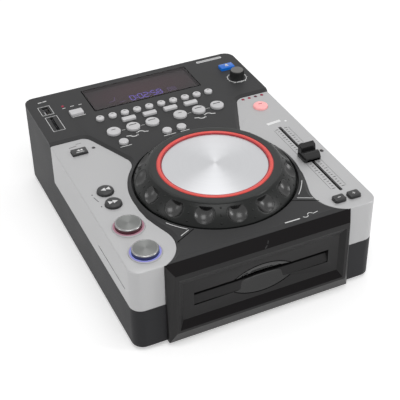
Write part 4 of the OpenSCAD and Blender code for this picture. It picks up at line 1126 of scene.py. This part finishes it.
def key_ring(key, finish):
    """The frosted ring that a transport key stands in."""
    spot = middle(key)
    inner = high(key).x - spot.x - FLANGE + SEAT_GAP
    outer = inner + 2.2
    lip = outer + 1.4
    top = WING + 0.8
    under = WING - SKIN
    bm = bmesh.new()
    turned(bm, spot, [(inner, top - 0.1), (inner + 0.15, top), (outer - 0.9, top - 0.1),
                      (outer, WING + 0.15), (outer, under), (lip, under),
                      (lip, under - RING_LIP), (inner, under - RING_LIP),
                      (inner, top - 0.1)], steps=96)
    finished(key.replace("_key", "_ring"), bm, finish, "case", sharp=TURNED_SHARP)


lamps()
key_ring("cue_key", glow_ring("glow_red", middle("cue_key"), (0.62, 0.36, 0.42),
                              (0.4, 0.17, 0.24), strength=0.12))
key_ring("play_key", glow_ring("glow_blue", middle("play_key"), (0.36, 0.46, 0.95),
                               (0.22, 0.2, 0.55), strength=0.3))


# ---------- display ----------

# Which bars a figure lights, and each bar's ends in a figure one wide and one tall
FIGURES = {"0": "abcdef", "2": "abged", "5": "afgcd", "8": "abcdefg"}
FIGURE_BARS = {"a": ((0, 1), (1, 1)), "b": ((1, 0.5), (1, 1)), "c": ((1, 0), (1, 0.5)),
               "d": ((0, 0), (1, 0)), "e": ((0, 0), (0, 0.5)), "f": ((0, 0.5), (0, 1)),
               "g": ((0, 0.5), (1, 0.5))}
TIME_TALL, TIME_PITCH, COLON_PITCH = 8.2, 5.9, 2.2
COUNT_TALL, COUNT_PITCH = 6.0, 4.8

# Where the figures start, from the window's middle, and the gap between their groups
FIGURES_X, FIGURES_Y = -15.2, -14.6
GROUP_GAP = 5.0

# The light guide lies just under the glass, and the digits just over the guide
GLASS_LOW = low("display_window").z
GUIDE_TOP = GLASS_LOW - 0.17
DIGITS_Z = GUIDE_TOP + 0.03


def digit(bm, figure, x, y, z, tall, finish=0):
    """A seven-bar figure with its lower left corner at x, y."""
    wide = tall * 0.52
    for lit in FIGURES[figure]:
        start, end = (Vector((x + a * wide, y + b * tall)) for a, b in FIGURE_BARS[lit])
        trim = (end - start).normalized() * tall * 0.06
        bar(bm, start + trim, end - trim, tall * 0.11, z, finish=finish)


def display_field():
    """The lit field in the module's recess, with its light guide under the glass."""
    window = middle("display_window")
    field_t, guide_t = 0.9, 0.7
    bm = bmesh.new()
    slab(bm, (102, 33, field_t), (window.x, window.y, GLASS_LOW - 1.5))
    slab(bm, (104.4, 35.4, guide_t), (window.x, window.y, GUIDE_TOP - guide_t))
    finished("display_field", bm, DISPLAY, "case")


def display_digits():
    """A running time, a small count and three dim dashes."""
    window = middle("display_window")
    x = window.x + FIGURES_X
    base = window.y + FIGURES_Y
    bm = bmesh.new()
    for figure in "0:02:58":
        if figure == ":":
            for height in (2.6, 5.8):
                slab(bm, (1.1, 1.1, PRINT_T), (x + 0.2, base + height, DIGITS_Z))
            x += COLON_PITCH
        else:
            digit(bm, figure, x, base, DIGITS_Z, TIME_TALL)
            x += TIME_PITCH
    x += GROUP_GAP
    for figure in "88":
        digit(bm, figure, x, base + 0.6, DIGITS_Z, COUNT_TALL, finish=1)
        x += COUNT_PITCH
    for x0, y0, x1, y1 in ((-27, 1.4, -22, 2.2), (-36.3, 5.4, -30.5, 6.6),
                           (-30.2, 6.6, -28.6, 13)):
        bar(bm, (window.x + x0, base + y0), (window.x + x1, base + y1), 0.7, DIGITS_Z,
            finish=1)
    finished("display_digits", bm, [DIGITS, DIGITS_DIM], "case")


def window_surround():
    """The black line round the window, widest in front."""
    window = middle("display_window")
    size = high("display_window") - low("display_window")
    x, y = size.x / 2 + 0.1, size.y / 2 + 0.1
    bm = bmesh.new()
    bars(bm, window, DECK, [(-x, -y, x, -y, 1.2), (-x, -y, -x, y, 1.0),
                            (x, -y, x, y, 0.6), (-x, y, x, y, 0.3)])
    finished("window_surround", bm, BLACK_INK, "case")


display_field()
display_digits()
window_surround()


# ---------- sockets ----------

def upright_sockets():
    """The upright data socket's white tongue with its four gold contacts."""
    x = middle("media_sockets").x
    y = REAR - 27.5
    top = DECK - SKIN
    bm = bmesh.new()
    slab(bm, (1.95, 11.9, 12), (x - 1.9, y, top - 12.05))
    for i in range(4):
        slab(bm, (0.12, 1.3, 9), (x - 0.92, y + (i - 1.5) * 2.5, top - 10), finish=1)
    finished("usb_tongue", bm, [WHITE_PLASTIC, GOLD], "case", edge=0.1)


def phono_details():
    """Gold sleeves with coloured rings and dark cores over the phono jacks."""
    z = middle("rear_sockets").z
    gold, red, white, chrome = range(4)
    sleeve = [(4.15, 1.65), (4.28, 1.7), (4.28, 8.8), (4.1, 9.0), (3.5, 9.0), (3.5, 7.5)]
    core = [(3.5, 7.5), (1.65, 7.5), (1.65, 2.0)]
    washer = [(4.2, 1.6), (5.6, 1.6), (5.6, 2.0), (4.3, 2.2), (4.2, 2.2)]
    bm = bmesh.new()
    for x, colour in ((48, red), (62, white), (80, white)):
        jack = bmesh.new()
        for profile, finish in ((sleeve, gold), (core, colour), (washer, chrome)):
            turned(jack, (0, 0), profile, steps=40, finish=finish)
        bmesh.ops.rotate(jack, matrix=Matrix.Rotation(-math.pi / 2, 3, "X"),
                         verts=jack.verts)
        bmesh.ops.translate(jack, vec=(x - SIDE, REAR, z), verts=jack.verts)
        put(bm, jack)
    finished("phono_sleeves", bm, [GOLD, RED_PLASTIC, WHITE_PLASTIC, CHROME], "case")


upright_sockets()
phono_details()


# ---------- feet ----------

FOOT_R = 10


def feet():
    """Rubber feet with a moulded edge and a shallow hollow underneath."""
    lo, hi = low("rubber_feet"), high("rubber_feet")
    profile = [(0, hi.z), (FOOT_R, hi.z), (FOOT_R, 1.0), (FOOT_R - 0.3, 0.35),
               (FOOT_R - 0.9, TABLE), (FOOT_R - 3, TABLE), (FOOT_R - 3.6, 0.7), (0, 0.7)]
    bm = bmesh.new()
    for x in (lo.x + FOOT_R, hi.x - FOOT_R):
        for y in (lo.y + FOOT_R, hi.y - FOOT_R):
            turned(bm, (x, y), profile, steps=48)
    finished("feet_turned", bm, RUBBER, "case", ("rubber_feet",), sharp=BLOCK_SHARP)


feet()


# ---------- printed marks ----------

# The arc round the knob and the outer end of its ticks
KNOB_ARC = 9.3
KNOB_TICK = 10.4
KNOB_TICKS = 11

# The arcs beside the wheel
WHEEL_ARC = 73.5

# The slider's slot, its scale's ticks and the side lines' distance from its middle
SLOT_Y = (-113.5, -5.5)
SCALE_INSET = 4
SCALE_TICKS = 29
SCALE_SIDE = 7.4


def swirl(bm, spot, z):
    """Two arrows that chase each other round a middle line."""
    thick = 1.05
    x, y = spot
    for side in (-1, 1):
        start = 100 - side * 90
        arc(bm, (x + side * 3.5, y - side * 0.6), 3.6, thick, start, start + 140, z)
        triangles(bm, (x + side * 0.2, y + side * 1.6), z, 1.9,
                  math.radians(150 + side * 90), 1)
        bar(bm, (x + side * 7.4, y + side * 0.4), (x + side * 10.6, y - side * 0.4), thick, z)


def socket_marks(bm):
    """Frames round the upright sockets, and short lines beside them and the source key."""
    frame_line(bm, (-101, REAR - 34.9), (-89.9, REAR - 19.4), 0.45, DECK)
    frame_line(bm, (-100.1, REAR - 65.1), (-89, REAR - 39.3), 0.45, DECK)
    bars(bm, (0, REAR), DECK, [(-98.2, -11.1, -94.4, -10.9, 1.2),
                               (-93.6, -10.8, -89.7, -10.4, 1.2)])
    source = middle("source_key")
    bars(bm, (source.x, REAR), DECK, [(-9.4, -30.4, -6.4, -30.4, 0.8)])
    bars(bm, source, DECK, [(-1.6, 13.6, 2.2, 13.6, 0.8), (6.6, 13.2, 9.8, 13.2, 0.8),
                            (-5.8, -5.6, 7.2, -5.6, 0.8)])


def loop_marks(bm):
    """Lines between the loop keys, arrows in front of them and lines by the mode keys."""
    for i in (1, 2, 4, 5):
        here, there = middle(f"loop_key_{i}"), middle(f"loop_key_{i + 1}")
        bar(bm, (here.x + 7.6, here.y), (there.x - 7.6, there.y), 0.4, DECK)
    for node, right, ahead in (("loop_key_2", -0.4, 11.3), ("loop_key_5", 1.6, 10.6)):
        swirl(bm, (middle(node).x + right, middle(node).y - ahead), DECK)
    for i, (left, right) in enumerate(((-5.4, 5.2), (-5.6, 6.2), (-3.6, 5.2))):
        bars(bm, middle(f"mode_key_{i + 1}"), DECK, [(left, -6.1, right, -6.0, 0.75)])


def knob_marks(bm):
    """An arc with ticks round the knob, and an arrow in front of it."""
    arc(bm, (KNOB.x, KNOB.y), KNOB_ARC, 0.6, 118, 422, DECK, steps=60)
    for i in range(KNOB_TICKS):
        angle = math.radians(150 + i * 24)
        x, y = math.cos(angle), math.sin(angle)
        bars(bm, KNOB, DECK, [(KNOB_ARC * x, KNOB_ARC * y, KNOB_TICK * x, KNOB_TICK * y, 0.5)])
    triangles(bm, (KNOB.x + 5.2, KNOB.y - 8.4), DECK, 2.2, math.radians(20), 1)
    bars(bm, KNOB, DECK, [(-7.4, -8.2, 5, -8.2, 0.7)])


def front_marks(bm):
    """Arcs beside the wheel and short marks in front of it."""
    for first, last in ((-148, -133), (-45, -29)):
        arc(bm, (JOG.x, JOG.y), WHEEL_ARC, 0.6, first, last, DECK)
    bars(bm, (0, 0), DECK, [(-57.4, -113.9, -48.8, -109.6, 0.6),
                            (49.2, -110.0, 61.2, -116.0, 0.6),
                            (24.0, -135.3, 37.6, -135.4, 1.1)])
    arc(bm, (43.4, -133.6), 2.4, 0.6, 200, 340, DECK)
    arc(bm, (48.0, -134.4), 2.4, 0.6, 20, 160, DECK)
    bars(bm, (0, 0), DECK, [(50.6, -134.0, 55.4, -133.0, 0.6)])


def deck_marks():
    """The white print on the deck."""
    bm = bmesh.new()
    socket_marks(bm)
    loop_marks(bm)
    knob_marks(bm)
    front_marks(bm)
    finished("deck_print", bm, WHITE_INK, "case")


def groove_shade_lines():
    """Painted shade for the grooves that run from the wheel's surround to the silver covers.
    """
    bm = bmesh.new()
    bars(bm, (0, 0), DECK - 0.03, [(-44.6, -110.2, -63.2, -120.0, 0.8),
                                   (41.8, -110.7, 63.6, -121.2, 0.8)])
    finished("groove_shade_lines", bm, BLACK_INK, "case")


def slider_scale(bm):
    """Ticks on both sides of the slider's slot, each fourth one longer, and side lines."""
    start, end = SLOT_Y[0] + SCALE_INSET, SLOT_Y[1] - SCALE_INSET
    for i in range(SCALE_TICKS):
        y = start + (end - start) * i / (SCALE_TICKS - 1)
        reach = 3.0 if i % 4 == 0 else 1.9
        for side in (-1, 1):
            near = SLIDER.x + side * 3.0
            bar(bm, (near, y), (near + side * reach, y), 0.65, WING)
    for side in (-1, 1):
        line = SLIDER.x + side * SCALE_SIDE
        bar(bm, (line, start), (line, end), 0.25, WING)


def cover_marks():
    """Marks on the silver covers: a bar and a dot, the slider's scale and key signs."""
    bm = bmesh.new()
    bars(bm, (0, 0), WING, [(81.3, 2.4, 95.4, 3.6, 3.4)])
    slab(bm, (2.2, 2.2, PRINT_T), (99.6, 0.8, WING), corner=1.08)
    finished("cover_print_white", bm, BRIGHT_INK, "case")
    bm = bmesh.new()
    slider_scale(bm)
    bars(bm, (0, 0), WING, [(-101.3, -29.2, -101.3, -30.4, 1.0),
                            (-101.2, -33.6, -99.6, -41.0, 0.55),
                            (-99.7, -47.6, -99.7, -48.8, 1.0),
                            (-95.8, 45.2, -88.6, 46.2, 0.5),
                            (-88.2, 48.9, -83.2, 48.9, 0.4)])
    finished("cover_print_grey", bm, GREY_INK, "case")


def line_on(bm, points, out, width):
    """A fine line along points on a slope that faces the way out gives."""
    for start, end in zip(points, points[1:]):
        along = (end - start).normalized()
        across = out.cross(along).normalized()
        part = bmesh.new()
        bmesh.ops.create_cube(part, size=1)
        bmesh.ops.scale(part, vec=((end - start).length + 0.8 * width, width, 0.1),
                        verts=part.verts)
        bmesh.ops.rotate(part, matrix=Matrix((along, across, out)).transposed(),
                         verts=part.verts)
        bmesh.ops.translate(part, vec=(start + end) / 2, verts=part.verts)
        put(bm, part, 0)


def notch_highlight():
    """A painted highlight: a fine curved line, lighter than the strip, down the bezel's top
    strip.
    """
    points = [Vector(p) for p in ((5.4, -141.0, 81.36), (5.0, -142.6, 80.2),
                                  (4.3, -144.2, 79.05), (2.6, -146.2, 77.6),
                                  (0.0, -147.9, 76.38))]
    bm = bmesh.new()
    line_on(bm, points, Vector((0, -0.585, 0.811)), 0.75)
    # The line is the panel's lighter black, a painted highlight on the shaded strip
    finished("bezel_notch_highlight", bm, PANEL, "case")


def scoop_edge_shade():
    """Painted shade along the thumb scoop's edge: a dark bow above the slot and one below it.
    """
    radius, half, slot_z = 47.1, 25.5, 44.2
    centre_off = 33.0
    bm = bmesh.new()
    for side in (-1, 1):
        points = []
        for i in range(-12, 13):
            x = half * i / 12
            rise = math.sqrt(radius * radius - x * x) - centre_off
            points.append(Vector((x, POCKET - 0.02, slot_z + side * rise)))
        line_on(bm, points, Vector((0, -1, 0)), 0.7)
    finished("scoop_edge_shade", bm, BLACK_INK, "case")


def badge():
    """A plain bright badge plate in the deck's rear corner."""
    x, y = 83.7, REAR - 6.4
    plate_t = 0.12
    bm = bmesh.new()
    slab(bm, (27.3, 3.4, plate_t), (x, y, DECK), corner=1.0)
    slab(bm, (25.9, 2.0, 0.04), (x, y, DECK + plate_t), corner=0.8, finish=1)
    finished("badge_plate", bm, [CHROME, PALE_INK], "case", edge=0.05)


notch_highlight()
scoop_edge_shade()
badge()
deck_marks()
groove_shade_lines()
cover_marks()


# ---------- stage, light and camera ----------

# Strength of the even light, and how bright the floor looks by itself near and far off
SKY = 0.42
FLOOR_NEAR = 0.42
FLOOR_FAR = 0.66

# Where the floor goes from near to far, half its width, and how far it lies below the
# feet, in metres
FLOOR_FADE = (0.6, 1.6)
FLOOR_HALF = 6
FLOOR_DROP = 0.0004

# The camera: degrees round, up and rolled, its distance from the case's middle, its
# shift right and down, and the height that it looks at
AZIMUTH, ELEVATION, ROLL = -24.39, 36.83, -0.94
DISTANCE, SHIFT_RIGHT, SHIFT_DOWN, LOOK_Z = 936.7, -9.9, -16.2, 4

# Focal length in pixels of a frame that is this wide, and the sensor's width
FOCAL_PIXELS, FRAME_PIXELS = 998.8, 400
SENSOR = 36


def stage():
    """A pale floor that looks white where no shadow lies."""
    bm = bmesh.new()
    bmesh.ops.create_grid(bm, x_segments=1, y_segments=1, size=FLOOR_HALF)
    mesh = bpy.data.meshes.new("floor")
    bm.to_mesh(mesh)
    bm.free()
    floor = bpy.data.objects.new("floor", mesh)
    bpy.context.collection.objects.link(floor)
    floor.location.z = -FLOOR_DROP
    pale = Finish("floor_pale", Roughness=0.9, Specular_IOR_Level=0.0, Emission_Strength=1.0,
                  Base_Color=(0.86, 0.86, 0.86, 1))
    far = pale.across((0, 0, 0)).between(*FLOOR_FADE)
    pale.feed("Emission Color", pale.blend(
        sum(pale.rays()) * spread(far, FLOOR_NEAR, FLOOR_FAR), (0, 0, 0), (1, 1, 1)))
    mesh.materials.append(pale.material)


def sky():
    """Even white light from all round, which the camera, metal and glass see as white."""
    world = bpy.data.worlds.new("studio")
    bpy.context.scene.world = world
    world.use_nodes = True
    nodes = Nodes(world.node_tree)
    seen, *others = nodes.rays()
    for ray in others:
        seen = seen.maths("MAXIMUM", seen, ray)
    nodes.fill(world.node_tree.nodes["Background"],
               {"Color": (1, 1, 1, 1), "Strength": spread(seen, SKY, 1.0)})


def soft_light(name, place, aim_z, size, watts):
    """A softbox, in metres, that points at a height over the floor's middle."""
    lamp = bpy.data.lights.new(name, "AREA")
    lamp.shape = "RECTANGLE"
    lamp.size, lamp.size_y = size
    lamp.energy = watts
    made = bpy.data.objects.new(name, lamp)
    made.location = place
    aim = Vector((0, 0, aim_z)) - Vector(place)
    made.rotation_euler = aim.to_track_quat("-Z", "Y").to_euler()
    bpy.context.collection.objects.link(made)


def camera():
    """The view: distance and turn round the case's middle, then a shift across it."""
    azimuth, elevation, roll = (math.radians(a) for a in (AZIMUTH, ELEVATION, ROLL))
    back = Vector((math.sin(azimuth) * math.cos(elevation),
                   -math.cos(azimuth) * math.cos(elevation), math.sin(elevation)))
    right = Vector((0, 0, 1)).cross(back).normalized()
    up = back.cross(right)
    right, up = (right * math.cos(roll) + up * math.sin(roll),
                 up * math.cos(roll) - right * math.sin(roll))
    place = back * DISTANCE - right * SHIFT_RIGHT - up * SHIFT_DOWN + Vector((0, 0, LOOK_Z))
    lens = bpy.data.cameras.new("view")
    lens.sensor_width = SENSOR
    lens.lens = SENSOR * FOCAL_PIXELS / FRAME_PIXELS
    lens.clip_start = 0.01
    lens.clip_end = 50
    made = bpy.data.objects.new("view", lens)
    bpy.context.collection.objects.link(made)
    made.matrix_world = Matrix.Translation(place * MM) @ Matrix(
        (right, up, back)).transposed().to_4x4()
    bpy.context.scene.camera = made


stage()
sky()
soft_light("softbox_above", (-0.2, -0.6, 1.6), 0.05, size=(0.9, 0.9), watts=8)
soft_light("softbox_behind", (0.31, 0.68, 1.5), 0.08, size=(0.6, 0.6), watts=1.9)
soft_light("softbox_left", (-1.5, 0.1, 0.85), 0.08, size=(0.35, 0.9), watts=2.2)
soft_light("softbox_right", (1.2, -0.9, 0.7), 0.08, size=(0.35, 0.8), watts=5.5)
camera()
bpy.context.scene.view_settings.view_transform = "Standard"
